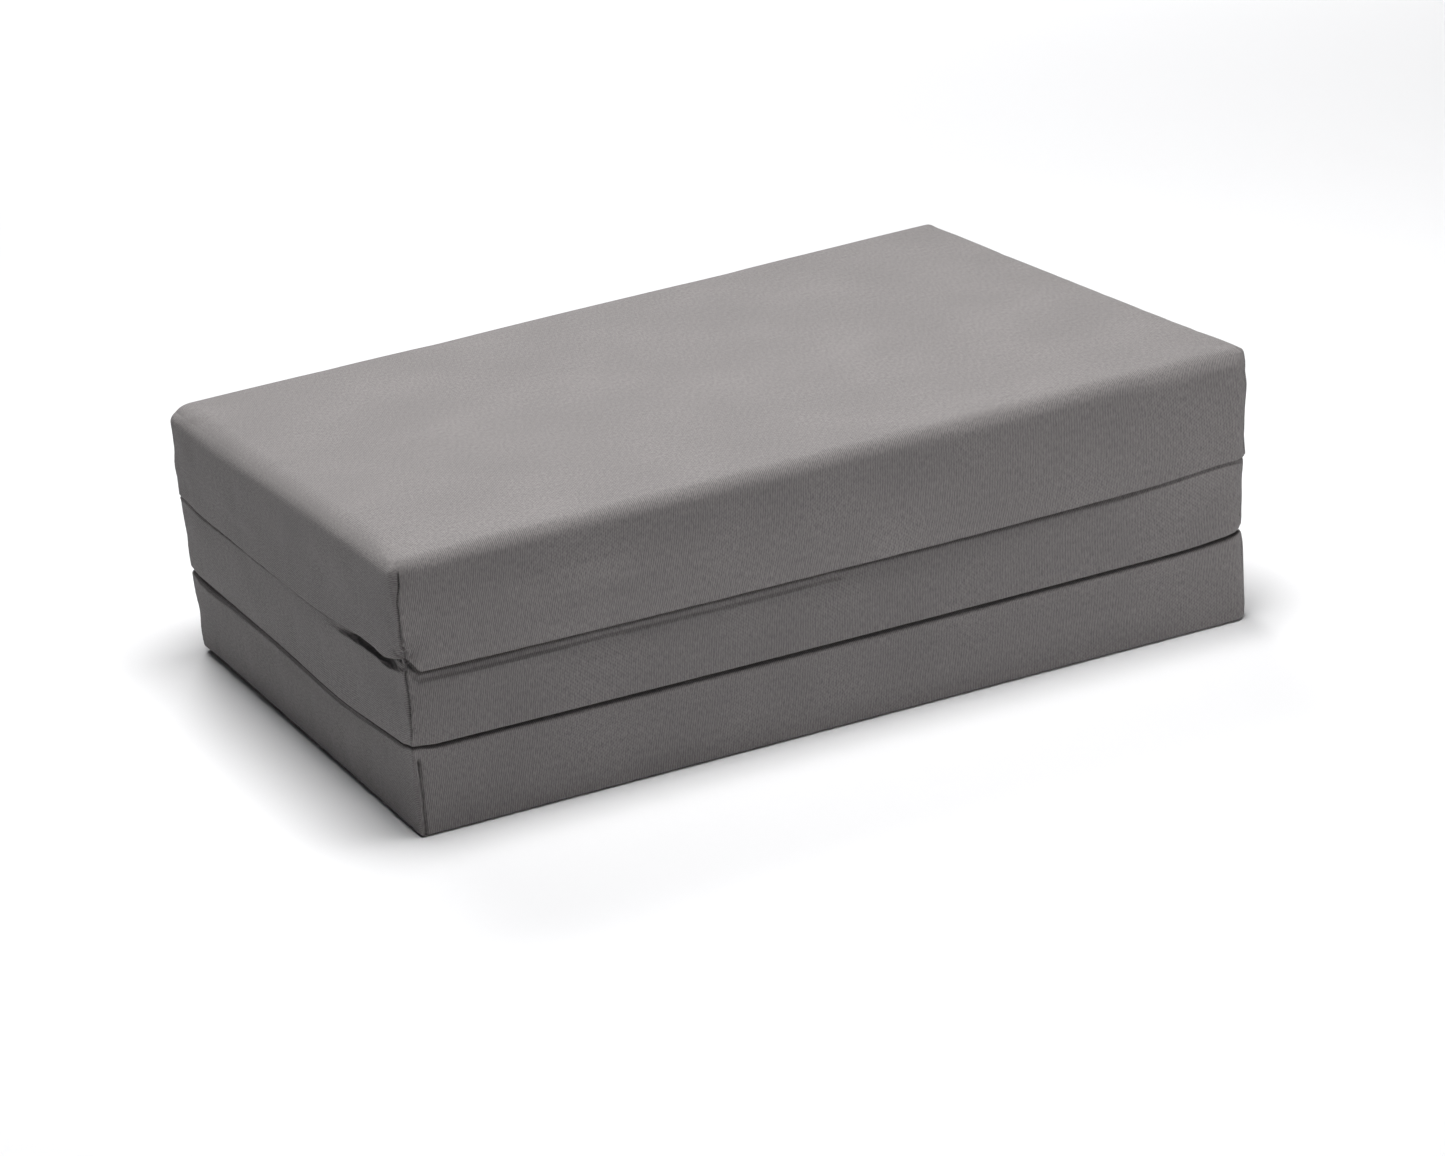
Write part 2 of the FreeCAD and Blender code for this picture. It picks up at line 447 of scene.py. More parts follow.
@dataclass(frozen=True)
class WovenTape:
    """Narrow woven polyester tape. To the eye: dark and matt, with a fine, square weave.

    The yarns are 0.3 mm apart in a real tape. They are drawn at yarn_mm, so that they show close up.
    """

    name: str
    colour: str
    shade: str
    yarn_mm: float = 0.8
    yarn_height_mm: float = 0.08
    on_cloth: bool = False

    def build(self) -> bpy.types.Material:
        """Makes the material: two sets of bands, square to each other, give its tint and its bump.

        Returns:
            The material, on cloth coordinates if on_cloth, or else on the piece's own y and z.
        """
        made, tree, shader = new_material(self.name, {"Roughness": 0.8, "Sheen Weight": 0.1})
        if self.on_cloth:
            place, ways = add_node(tree, "UVMap", uv_map="cloth").outputs[0], ("X", "Y")
        else:
            place, ways = add_node(tree, "TexCoord").outputs["Object"], ("Y", "Z")
        bands = {"Vector": place, "Scale": band_scale(self.yarn_mm), "Distortion": 0.4, "Detail": 1.0}
        warp, weft = (add_node(tree, "TexWave", bands, bands_direction=way).outputs["Fac"] for way in ways)
        weave = add_node(tree, "Mix", {"Factor": 0.5, "A": warp, "B": weft}, data_type="FLOAT").outputs[0]
        tones = ((0.0, self.shade), (1.0, self.colour))
        tint_and_emboss(tree, shader, weave, tones, weave, 0.6, self.yarn_height_mm)
        return made


@dataclass(frozen=True)
class CutFoam:
    """Open-cell polyurethane foam, cut by wire. To the eye: cream, soft and full of pores, with a painted
    shade that darkens each pore's hollow.

    Real cells are about 0.5 mm. They are drawn at cell_mm, so that they show close up.
    """

    name: str = "polyurethane_foam_cream"
    colour: str = "EFE4C6"
    # shade is painted shade: the tone that the pores' hollows take, not a colour of the foam.
    shade: str = "CDBD93"
    cell_mm: float = 1.2
    cell_depth_mm: float = 0.5

    def build(self) -> bpy.types.Material:
        """Makes the material: the distance to each cell's middle gives the pores, and a painted shade that is
        darkest in each pore's hollow.

        Returns:
            The material, on object coordinates.
        """
        made, tree, shader = new_material(
            self.name, {"Roughness": 0.95, "Subsurface Weight": 0.15, "Subsurface Scale": 0.002}
        )
        place = add_node(tree, "TexCoord").outputs["Object"]
        cells = add_node(tree, "TexVoronoi", {"Vector": place, "Scale": 1 / (self.cell_mm * MM)})
        pores = cells.outputs["Distance"]
        # Painted shade: where the distance is least, at the bottom of each pore's hollow, the tone is the
        # darker one.
        tones = ((0.0, self.shade), (0.55, self.colour))
        tint_and_emboss(tree, shader, pores, tones, pores, 0.7, self.cell_depth_mm)
        return made


@dataclass(frozen=True)
class PlainFinish:
    """A matt or satin piece too small for a pattern beyond grain: thread, nylon, enamel or tape.

    To the eye: one dark tone, broken by a fine grain of grain_mm and its bump.
    """

    name: str
    colour: str
    shade: str
    roughness: float
    grain_mm: float
    bump_mm: float
    metallic: float = 0.0
    sheen: float = 0.0

    def build(self) -> bpy.types.Material:
        """Makes the material from object coordinates, so that the grain stays with the piece.

        Returns:
            The material.
        """
        made, tree, shader = new_material(
            self.name, {"Roughness": self.roughness, "Metallic": self.metallic, "Sheen Weight": self.sheen}
        )
        place = add_node(tree, "TexCoord").outputs["Object"]
        scale = 1 / (self.grain_mm * MM)
        grain = add_node(tree, "TexNoise", {"Vector": place, "Scale": scale, "Detail": 3.0}).outputs["Fac"]
        tones = ((0.3, self.shade), (0.7, self.colour))
        tint_and_emboss(tree, shader, grain, tones, grain, 0.5, self.bump_mm)
        return made


# --------------------------------------------------------------------------- padded panels


class Side(Enum):
    """The six sides of a panel in the folded stack, each with its outward direction."""

    LEFT = (-1, 0, 0)
    RIGHT = (1, 0, 0)
    FRONT = (0, -1, 0)
    BACK = (0, 1, 0)
    LOWER = (0, 0, -1)
    UPPER = (0, 0, 1)

    @property
    def direction(self) -> Array:
        """The side's outward direction."""
        return np.array(self.value, float)

    @property
    def axis(self) -> int:
        """The axis that the side looks along: 0, 1 or 2 for x, y or z."""
        return int(np.argmax(np.abs(self.value)))


WALLS = (Side.LEFT, Side.RIGHT, Side.FRONT, Side.BACK)
WALLS_ROUND = (Side.FRONT, Side.RIGHT, Side.BACK, Side.LEFT)


def graded_lines(
    half: float, fine: float, growth: float, coarse: float, snap: Sequence[float] = ()
) -> Array:
    """Lattice lines from -half to half, close together at both ends and wider in the middle.

    The spacing at a distance d from an end is fine plus growth times d, and at most coarse.

    Args:
        half: Half the length, in mm.
        fine: Spacing at the ends.
        growth: How much wider the spacing gets for each mm.
        coarse: Widest spacing.
        snap: Places that the nearest line is moved to.

    Returns:
        The lines in order.
    """
    distances = [0.0]
    while distances[-1] < half:
        distances.append(distances[-1] + min(coarse, fine + growth * distances[-1]))
    side = np.array(distances) * (half / distances[-1])
    lines = np.concatenate([side - half, (half - side[:-1])[::-1]])
    for place in snap:
        lines[np.argmin(np.abs(lines - place))] = place
    return lines


@dataclass
class BoxLattice:
    """The surface points and quads of a box that is cut by lines along x, y and z."""

    xs: Array
    ys: Array
    zs: Array
    points: Array = field(init=False)
    quads: dict[Side, Array] = field(init=False)
    index: Array = field(init=False)

    def __post_init__(self) -> None:
        """Numbers the surface points, and lists each side's quads so that they face outwards."""
        shape = (len(self.xs), len(self.ys), len(self.zs))
        i, j, k = np.meshgrid(*(np.arange(n) for n in shape), indexing="ij")
        surface = (i == 0) | (j == 0) | (k == 0)
        surface |= (i == shape[0] - 1) | (j == shape[1] - 1) | (k == shape[2] - 1)
        self.index = np.full(shape, -1)
        self.index[surface] = np.arange(surface.sum())
        self.points = np.stack([self.xs[i[surface]], self.ys[j[surface]], self.zs[k[surface]]], -1)
        grids = {
            Side.LEFT: (self.index[0], True),
            Side.RIGHT: (self.index[-1], False),
            Side.FRONT: (self.index[:, 0], False),
            Side.BACK: (self.index[:, -1], True),
            Side.LOWER: (self.index[:, :, 0], True),
            Side.UPPER: (self.index[:, :, -1], False),
        }
        self.quads = {side: self.grid_quads(grid, turned) for side, (grid, turned) in grids.items()}

    @staticmethod
    def grid_quads(grid: Array, turned: bool) -> Array:
        """Quads of a grid of indices.

        Args:
            grid: The indices, by rows and columns.
            turned: Winds the quads the other way round.

        Returns:
            Rows of four indices.
        """
        a, b, c, d = grid[:-1, :-1], grid[1:, :-1], grid[1:, 1:], grid[:-1, 1:]
        quads = np.stack([a, b, c, d], -1).reshape(-1, 4)
        return quads[:, ::-1] if turned else quads

    def all_quads(self) -> Array:
        """Every quad, side by side in the order of Side."""
        return np.concatenate([self.quads[side] for side in Side])

    def ring(self, level: int) -> Array:
        """The points round the walls at one z line: front, right, back and left in turn."""
        grid = self.index[:, :, level]
        return np.concatenate([grid[:-1, 0], grid[-1, :-1], grid[:0:-1, -1], grid[0, :0:-1]])

    def ring_sides(self) -> list[Side]:
        """The side on which each step round the ring lies.

        Returns:
            One side for each step, in the ring's order.
        """
        long_way, short_way = len(self.xs) - 1, len(self.ys) - 1
        counts = (long_way, short_way, long_way, short_way)
        return [side for side, count in zip(WALLS_ROUND, counts) for _ in range(count)]


def spline_matrix(fine: Array, coarse: Array) -> Array:
    """Weights that read a smooth curve through coarse samples at the fine places.

    Each fine place lies between two samples. The curve there is the cubic whose end slopes are
    half the difference of the samples on each side (Catmull-Rom), so it runs through them all.

    Args:
        fine: Places to read at.
        coarse: Evenly spaced sample places.

    Returns:
        A matrix with a row for each fine place and a column for each sample.
    """
    count = len(coarse)
    step = coarse[1] - coarse[0]
    cell = np.clip(((fine - coarse[0]) / step).astype(int), 0, count - 2)
    t = (fine - coarse[0]) / step - cell
    weights = [
        (-(t**3) + 2 * t**2 - t) / 2,
        (3 * t**3 - 5 * t**2 + 2) / 2,
        (-3 * t**3 + 4 * t**2 + t) / 2,
        (t**3 - t**2) / 2,
    ]
    matrix = np.zeros((len(fine), count))
    for offset, weight in zip((-1, 0, 1, 2), weights):
        np.add.at(matrix, (np.arange(len(fine)), np.clip(cell + offset, 0, count - 1)), weight)
    return matrix


@dataclass(frozen=True)
class Rim:
    """One rolled edge: its radius in mm at each end, and how many times taller it is than deep."""

    start: float
    end: float
    tall: float = 1.0

    def at(self, along: Array, half: float) -> Array:
        """The radius at places along the edge, changing evenly from end to end."""
        return self.start + (self.end - self.start) * (along + half) / (2 * half)


@dataclass(frozen=True)
class Swell:
    """A soft hill on one side of a panel, in mm: positive stands out, negative draws in.

    along runs in x on the front and back, and in y on the ends. height is measured in z from the
    panel's middle. On the upper and lower sides, height is the place in y.
    """

    side: Side
    along: float
    height: float
    reach_along: float
    reach_height: float
    depth: float


@dataclass(frozen=True)
class Sag:
    """A stretch of rim that hangs lower: by drop mm at its middle, and not at the corners."""

    side: Side
    upper: bool
    along: float
    reach: float
    drop: float


@dataclass(frozen=True)
class Lean:
    """A whole corner of a panel that stands off its true place, by shift, in mm.

    signs tell the corner: -1 or 1 along x, y and z. With a reach, only that much of the panel's
    width leans, and otherwise the lean fades evenly to the other corners.
    """

    signs: tuple[int, int, int]
    shift: tuple[float, float, float]
    reach: float | None = None


@dataclass(frozen=True)
class Pinch:
    """Cloth drawn in towards the panel's middle at one point, with creases that fan out of it."""

    x: float
    y: float
    z: float
    reach: float
    depth: float
    creases: float = 0.0


@dataclass(frozen=True)
class HemLine:
    """How low, and how far out, the top cover's walls hang over the upper fold line.

    The front hem is a shallow curve that rises at the right. At the near left corner both hems are
    drawn up to the knot where the corner seams meet. Under the left hem, next to the knot, the wall
    below turns in to a ledge, which leaves a dark wedge between the two.
    """

    front: float = 107.5
    left: float = 111.2
    lift: float = 3.9
    hidden: float = 112.6
    knot: float = 117.2
    knot_reach_front: float = 10.0
    knot_reach_left: float = 30.0
    flare_height: float = 149.0
    flare: float = 0.0028
    half_length: float = 300.0
    half_width: float = 200.0
    ledge_along: float = -146.0
    ledge_reach: float = 37.0
    ledge_depth: float = 8.0
    ledge_below: float = 7.2

    def ledge(self, x: Array, y: Array, below: Array) -> Array:
        """How far the wall under the left hem turns in: a bell along y times a step in height."""
        step = smooth(below, self.ledge_below + 0.6, self.ledge_below - 0.6)
        return self.ledge_depth * (x < 0) * step * bell(y, self.ledge_along, self.ledge_reach)

    def share(self, x: Array, y: Array) -> Array:
        """How freely the wall hangs: 1 at the near left, and much less at the right and the far left.

        Args:
            x: Places along x, in mm.
            y: Places along y, in mm.

        Returns:
            Shares of 0 to 1.
        """
        along_front = smooth(x, 290.0, 60.0)
        along_left = smooth(y, 190.0, -40.0)
        least = 0.18 * smooth(y, 198.0, 120.0)
        return least + (1 - least) * along_front * along_left

    def stand_off(self, x: Array, y: Array, height: Array) -> Array:
        """How far the wall flares out: flare times the square of the depth under flare_height."""
        depth = np.maximum(self.flare_height - height, 0.0)
        return self.flare * depth**2 * self.share(x, y)

    def at(self, x: Array, y: Array) -> Array:
        """The hem's height beside any place on the walls.

        The rise to the knot is 1 at the corner, and falls as (1 - t) squared times (1 + 2 t), where
        t is the distance from the corner over its reach.

        Args:
            x: Places along x, in mm.
            y: Places along y, in mm.

        Returns:
            Heights in mm.
        """
        on_front = (y < 0) & (np.abs(y) / self.half_width >= np.abs(x) / self.half_length)
        on_left = (x < 0) & (np.abs(x) / self.half_length > np.abs(y) / self.half_width)
        front = self.front + 1.2 * (x / 240.0) ** 2 + 3.0 * smooth(x, 210.0, 300.0)
        left = self.left + 2.4 * smooth(y, 150.0, 200.0)
        left = left + self.lift * bell(y, self.ledge_along, 1.3 * self.ledge_reach)
        height = np.select([on_front, on_left], [front, left], self.hidden)
        from_corner = np.where(on_front, x + self.half_length, y + self.half_width)
        reach = np.where(on_front, self.knot_reach_front, self.knot_reach_left)
        share = np.clip(from_corner / reach, 0.0, 1.0)
        rise = np.where(on_front | on_left, (1 - share) ** 2 * (1 + 2 * share), 0.0)
        return height + (self.knot - height) * rise


@dataclass(frozen=True)
class Settling:
    """How far each point of a coarse lattice moved as its cloth settled, in mm."""

    coarse: BoxLattice
    moved: Array

    def at(self, fine: BoxLattice) -> Array:
        """Reads the movement smoothly at a finer lattice, one side of the box after the other.

        Args:
            fine: The lattice to read at.

        Returns:
            The movement of each of its points.
        """
        result = np.zeros_like(fine.points)
        lines = ((fine.xs, self.coarse.xs), (fine.ys, self.coarse.ys), (fine.zs, self.coarse.zs))
        weights = [spline_matrix(*pair) for pair in lines]
        for axis, (one, two) in enumerate(((1, 2), (0, 2), (0, 1))):
            for end in (0, -1):
                grid = self.moved[self.coarse.index.take(end, axis=axis)]
                read = np.einsum("ia,jb,abc->ijc", weights[one], weights[two], grid)
                result[fine.index.take(end, axis=axis)] = read
        return result


@dataclass
class Panel:
    """One padded panel: a foam block in a sewn cover.

    Its shape is worked out round its own middle: a box with rolled rims, then a chain of steps that
    each move its points. Every step reads where the points lie on the sharp box.
    """

    name: str
    face_up: bool
    low: float
    high: float
    upper_rims: dict[Side, Rim]
    lower_rims: dict[Side, Rim]
    pinned: tuple[Side, ...]
    barrel: dict[Side, float]
    swells: tuple[Swell, ...] = ()
    sags: tuple[Sag, ...] = ()
    leans: tuple[Lean, ...] = ()
    pinches: tuple[Pinch, ...] = ()
    seam_shift: float = 0.0
    flares_to: HemLine | None = None
    tucked_under: HemLine | None = None
    shallow_tuck: float = 1.1
    deep_tuck: float = 3.1
    hidden_tuck: float = 1.2
    half_length: float = 300.0
    half_width: float = 200.0
    corner_radius: float = 6.0
    near_right_radius: float = 11.0
    sewn_radius: float = 3.0
    seam_depth: float = 2.4
    seam_width: float = 0.8
    stitch_pitch: float = 4.8
    pucker_height: float = 0.42
    wall_unevenness: float = 0.35
    face_unevenness: float = 0.12
    seed: int = 1
    lattice: BoxLattice = field(init=False)
    shaped: Array = field(init=False)

    SIM_SPACING = 8.0
    SIM_FRAMES = 20
    SIM_SHARE = 0.4
    SIM_CAP = 1.6
    SLOT_HALF_LENGTH = 180.0
    SLOT_HALF_HEIGHT = 4.5
    SLOT_DEPTH = 2.6
    FOAM_CLEARANCE = 2.4
    SLIDER_ROOM = 4.2
    PULL_ROOM = 21.0
    SLIDER_HALF_ROOM = 6.0
    SLIDER_HALF_TRAVEL = 190.0
    LIP_FADE = 6.0
    LIP_BEYOND_ZIP = 16.0
    BEHIND_LIP = 8.0
    RIM_BLEND = 15.0
    SWELL_FADE = 9.0
    SAG_CORNER = 18.0
    SAG_DOWN_WALL = 24.0
    SAG_INTO_FACE = 16.0
    BARREL_ENDS = 40.0
    LEDGE_CUT_HEIGHT = 24.0
    LEDGE_CUT_REACH = 13.0
    STITCH_FROM_SEAM = 1.5
    STITCH_LENGTH = 3.0
    FIRST_STITCH = 11.0
    TOPSTITCH_PITCH = 4.0
    TOPSTITCH_LENGTH = 2.8
    TOPSTITCH_FROM_SLOT = 3.2
    THREAD_RADIUS = 0.24

    @property
    def face_sign(self) -> int:
        """1 if the sleeping face looks up in the stack, or -1 if it looks down."""
        return 1 if self.face_up else -1

    @property
    def half_height(self) -> float:
        """Half the panel's height."""
        return (self.high - self.low) / 2

    @property
    def middle(self) -> float:
        """Height of the panel's middle in the stack."""
        return (self.high + self.low) / 2

    @property
    def half(self) -> Array:
        """Half the panel's size along x, y and z."""
        return np.array([self.half_length, self.half_width, self.half_height])

    def rim_radii(self, points: Array, rims: dict[Side, Rim]) -> tuple[Array, Array, Array]:
        """Radii of the upper or lower rims at each point.

        The sideways radii are those of the nearest wall on each axis. The upright radius is the
        mean of the four walls' radii, weighted by e to the minus the distance to the wall over 15 mm.

        Args:
            points: Lattice points.
            rims: The four rims of one side.

        Returns:
            Radii along x, y and z.
        """
        x, y = points[:, 0], points[:, 1]
        radii = {
            Side.FRONT: rims[Side.FRONT].at(x, self.half_length),
            Side.BACK: rims[Side.BACK].at(x, self.half_length),
            Side.LEFT: rims[Side.LEFT].at(y, self.half_width),
            Side.RIGHT: rims[Side.RIGHT].at(y, self.half_width),
        }
        distance = {
            Side.FRONT: y + self.half_width,
            Side.BACK: self.half_width - y,
            Side.LEFT: x + self.half_length,
            Side.RIGHT: self.half_length - x,
        }
        weight = {wall: np.exp(-distance[wall] / self.RIM_BLEND) for wall in WALLS}
        total = sum(weight.values())
        upright = sum(weight[wall] * rims[wall].tall * radii[wall] for wall in WALLS) / total
        along_x = np.where(x < 0, radii[Side.LEFT], radii[Side.RIGHT])
        along_y = np.where(y < 0, radii[Side.FRONT], radii[Side.BACK])
        return along_x, along_y, upright

    def rounded(self, points: Array) -> Array:
        """Rolls the box's edges: what a point stands out of a smaller core box is made an ellipsoid's.

        Args:
            points: Points on the sharp box.

        Returns:
            The same points on the rounded form.
        """
        share = points[:, 2] / self.half_height
        to_upper = smooth(share, 0.05, 0.5)
        to_lower = smooth(-share, 0.05, 0.5)
        upper = self.rim_radii(points, self.upper_rims)
        lower = self.rim_radii(points, self.lower_rims)
        near_right = (points[:, 0] > 0) & (points[:, 1] < 0)
        plan = np.where(near_right, self.sewn_radius, self.corner_radius)
        sideways = [
            plan + (up - plan) * to_upper + (low - plan) * to_lower for up, low in zip(upper[:2], lower[:2])
        ]
        upright = np.where(share > 0, upper[2], lower[2])
        radii = np.stack([*sideways, upright], -1)
        core = np.clip(points, -(self.half - radii), self.half - radii)
        out = (points - core) / radii
        length = np.maximum(np.linalg.norm(out, axis=1, keepdims=True), 1e-9)
        return self.round_near_right(core + radii * out / np.maximum(length, 1.0))

    def round_near_right(self, points: Array) -> Array:
        """Turns the square plan of the near right corner into a quarter circle.

        A place u and v beyond the circle's middle is scaled by the larger of the two over their
        hypotenuse, so that the square's two sides land on the circle.

        Args:
            points: Points on the form.

        Returns:
            The same points, with the corner's moved.
        """
        signs = np.array([1.0, -1.0])
        middle = signs * (self.half[:2] - self.near_right_radius)
        beyond = (points[:, :2] - middle) * signs
        inside = (beyond > 0).all(axis=1)
        scale = np.where(inside, beyond.max(axis=1) / np.maximum(np.hypot(*beyond.T), 1e-9), 1.0)
        turned = middle + beyond * scale[:, None] * signs
        result = points.copy()
        result[:, :2] = np.where(inside[:, None], turned, points[:, :2])
        return result

    def relaxed(self) -> Settling:
        """Lets the cover's cloth settle over the foam in a short cloth simulation.

        The cover is blown up gently from inside, held at the sides that rest on a neighbour, at the
        corner seams and round the zip. A movement m is scaled by cap over (cap plus its length).

        Returns:
            How far each point of a coarse lattice moved, scaled down and capped.
        """
        counts = (max(3, 2 * round(half / self.SIM_SPACING) + 1) for half in self.half)
        coarse = BoxLattice(*(np.linspace(-half, half, count) for half, count in zip(self.half, counts)))
        start = self.rounded(coarse.points)
        moved = self.simulate(coarse, start)
        moved = moved * self.SIM_SHARE
        reach = np.linalg.norm(moved, axis=1, keepdims=True)
        LOG.info("%s: the cloth moved up to %.2f mm, %.2f on average", self.name, reach.max(), reach.mean())
        return Settling(coarse, moved * self.SIM_CAP / (self.SIM_CAP + reach))

    def simulate(self, coarse: BoxLattice, start: Array) -> Array:
        """Runs the cloth simulation on a coarse lattice.

        Args:
            coarse: The lattice.
            start: Its points on the rounded form.

        Returns:
            How far each point moved, in mm.
        """
        quads = coarse.all_quads()
        cloth = make_object(f"{self.name}_simulation", start, quads)
        hold = cloth.vertex_groups.new(name="hold")
        points = coarse.points
        held = (abs(points[:, 0]) >= self.half_length) & (abs(points[:, 1]) >= self.half_width)
        if Side.LOWER in self.pinned:
            held |= points[:, 2] <= -self.half_height
        if Side.UPPER in self.pinned:
            held |= points[:, 2] >= self.half_height
        held |= (points[:, 0] >= self.half_length) & (abs(points[:, 2]) < 2.5 * self.SLOT_HALF_HEIGHT)
        hold.add([int(i) for i in np.flatnonzero(held)], 1.0, "REPLACE")
        modifier = cloth.modifiers.new("settle", "CLOTH")
        settings = modifier.settings
        settings.quality = 6
        settings.mass = 0.25
        settings.tension_stiffness = 25
        settings.compression_stiffness = 20
        settings.shear_stiffness = 8
        settings.bending_stiffness = 2
        settings.shrink_min = -0.006
        settings.use_pressure = True
        settings.uniform_pressure_force = 4.0
        settings.effector_weights.gravity = 0
        settings.vertex_group_mass = "hold"
        modifier.point_cache.frame_start = 1
        modifier.point_cache.frame_end = self.SIM_FRAMES
        scene = bpy.context.scene
        for number in range(1, self.SIM_FRAMES + 1):
            scene.frame_set(number)
        settled = cloth.evaluated_get(bpy.context.evaluated_depsgraph_get()).to_mesh()
        end = np.empty(len(start) * 3, np.float32)
        settled.vertices.foreach_get("co", end)
        cloth.to_mesh_clear()
        bpy.data.objects.remove(cloth, do_unlink=True)
        scene.frame_set(1)
        return end.reshape(-1, 3) / MM - start

    def leaned(self, points: Array) -> Array:
        """Moves whole corners of the panel: each by its shift times its weight.

        The weight is the product of (1 plus sign times coordinate over half size) over 2 along x, y
        and z, with an ease from the corner in place of y's share where the lean has a reach.

        Args:
            points: The points so far.

        Returns:
            The moved points.
        """
        flat = self.lattice.points
        share = flat / self.half
        result = points.copy()
        for lean in self.leans:
            weights = [(1 + sign * share[:, axis]) / 2 for axis, sign in enumerate(lean.signs)]
            if lean.reach is not None:
                weights[1] = smooth(self.half_width - flat[:, 1] * lean.signs[1], lean.reach, 0.0)
            result += np.array(lean.shift) * np.prod(weights, axis=0)[:, None]
        return result

    def add_sags(self, points: Array) -> Array:
        """Lets rims hang: each sag's drop times a bell along the rim, fading inwards and up the wall.

        The drop also fades towards the corners, unless the sag's middle is at a corner.

        Args:
            points: The points so far.

        Returns:
            The moved points.
        """
        flat = self.lattice.points
        result = points.copy()
        for sag in self.sags:
            axis, other = sag.side.axis, 1 - sag.side.axis
            depth_in = self.half[axis] - flat[:, axis] * sag.side.direction[axis]
            corner = smooth(self.half[other] - np.abs(flat[:, other]), 0.0, self.SAG_CORNER)
            if abs(sag.along) >= self.half[other]:
                corner = 1.0
            rim = self.half_height if sag.upper else -self.half_height
            near = smooth(np.abs(flat[:, 2] - rim), self.SAG_DOWN_WALL, 0.0)
            near = near * np.exp(-depth_in / self.SAG_INTO_FACE)
            result[:, 2] -= sag.drop * bell(flat[:, other], sag.along, sag.reach) * corner * near
        return result

    def add_unevenness(self, points: Array) -> Array:
        """Adds soft, broad waves to the walls, and to a face that lies free.

        The walls' waves fade out within 12 mm of the rims, and the face's between 50 and 8 mm of
        its edge. On a wall they are 2.2 times as long along the wall as up it.

        Args:
            points: The points so far.

        Returns:
            The moved points.
        """
        flat = self.lattice.points
        x, y, z = flat.T
        on_long = np.abs(y) >= self.half_width
        on_end = np.abs(x) >= self.half_length
        result = points.copy()
        fade = smooth(self.half_height - np.abs(z), 0.0, 12.0)
        wave = self.wall_unevenness * fade
        result[:, 1] += on_long * np.sign(y) * wave * ripple(x, 2.2 * z, 90.0, self.seed)
        result[:, 0] += on_end * np.sign(x) * wave * ripple(y, 2.2 * z, 70.0, self.seed + 50)
        if Side.UPPER not in self.pinned:
            from_edge = np.minimum(self.half_length - np.abs(x), self.half_width - np.abs(y))
            height = self.face_unevenness * smooth(from_edge, 8.0, 50.0) * (z >= self.half_height)
            result[:, 2] += height * ripple(x, y, 150.0, self.seed + 90)
        return result

    def add_hem(self, points: Array) -> Array:
        """Flares the walls that end in a hem, and draws in the walls that pass under one.

        A wall under a hem is drawn in by an ease over the last few mm before the hem's edge, and
        turns in further to the ledge. The lowest strip of the hem's own wall, which the overhang
        hides, is drawn in too.

        Args:
            points: The points so far.

        Returns:
            The moved points.
        """
        flat = self.lattice.points
        x, y, z = flat.T
        amount = np.zeros(len(flat))
        if self.flares_to is not None:
            amount += self.flares_to.stand_off(x, y, z + self.middle)
            amount -= self.hidden_tuck * smooth(z + self.half_height, 4.0, 2.4)
        if self.tucked_under is not None:
            depth = self.shallow_tuck + self.deep_tuck * self.tucked_under.share(x, y)
            below = self.tucked_under.at(x, y) - self.middle - z
            amount -= depth * smooth(below, 3.4, 0.4) + self.tucked_under.ledge(x, y, below)
        outwards = np.sign(flat[:, :2]) * (np.abs(flat[:, :2]) >= self.half[:2])
        result = points.copy()
        result[:, :2] += outwards * amount[:, None]
        return result

    def add_swells(self, points: Array) -> Array:
        """Adds each swell: its depth times two bell curves, on its own side and near its rims.

        Args:
            points: The points so far.

        Returns:
            The moved points.
        """
        flat = self.lattice.points
        result = points.copy()
        for swell in self.swells:
            direction, axis = swell.side.direction, swell.side.axis
            depth_in = self.half[axis] - flat[:, axis] * direction[axis]
            along = flat[:, 1] if axis == 0 else flat[:, 0]
            height = flat[:, 1] if axis == 2 else flat[:, 2]
            weight = bell(along, swell.along, swell.reach_along)
            weight = weight * bell(height, swell.height, swell.reach_height)
            fade = np.exp(-np.maximum(depth_in, 0) / self.SWELL_FADE)
            result += direction * (swell.depth * weight * fade)[:, None]
        return result

    def add_barrel(self, points: Array) -> Array:
        """Bows each wall: out by its barrel times 1 minus the square of height over half height.

        Args:
            points: The points so far.

        Returns:
            The moved points.
        """
        flat = self.lattice.points
        result = points.copy()
        share = flat[:, 2] / self.half_height
        for wall, depth in self.barrel.items():
            direction, axis, other = wall.direction, wall.axis, 1 - wall.axis
            on_wall = (flat[:, axis] * direction[axis] >= self.half[axis]).astype(float)
            ends = smooth(self.half[other] - np.abs(flat[:, other]), 0.0, self.BARREL_ENDS)
            result += direction * (depth * on_wall * ends * (1 - share**2))[:, None]
        return result

    def seam_distance(self, flat: Array) -> tuple[Array, Array]:
        """How far each wall point is from the nearest corner seam, and on which wall it lies.

        Args:
            flat: Lattice points.

        Returns:
            The distance in mm, large off the walls, and 1 on the front and back or 0 on the ends.
        """
        to_x = self.half_length - np.abs(flat[:, 0])
        to_y = self.half_width - np.abs(flat[:, 1])
        on_long = (to_y <= 0).astype(float)
        on_end = (to_x <= 0).astype(float)
        shift = np.where((flat[:, 0] < 0) & (flat[:, 1] < 0), self.seam_shift, 0.0)
        distance = np.where(on_long > 0, np.abs(to_x - shift), to_y + shift)
        return np.where((on_long + on_end) > 0, distance, 1e3), on_long

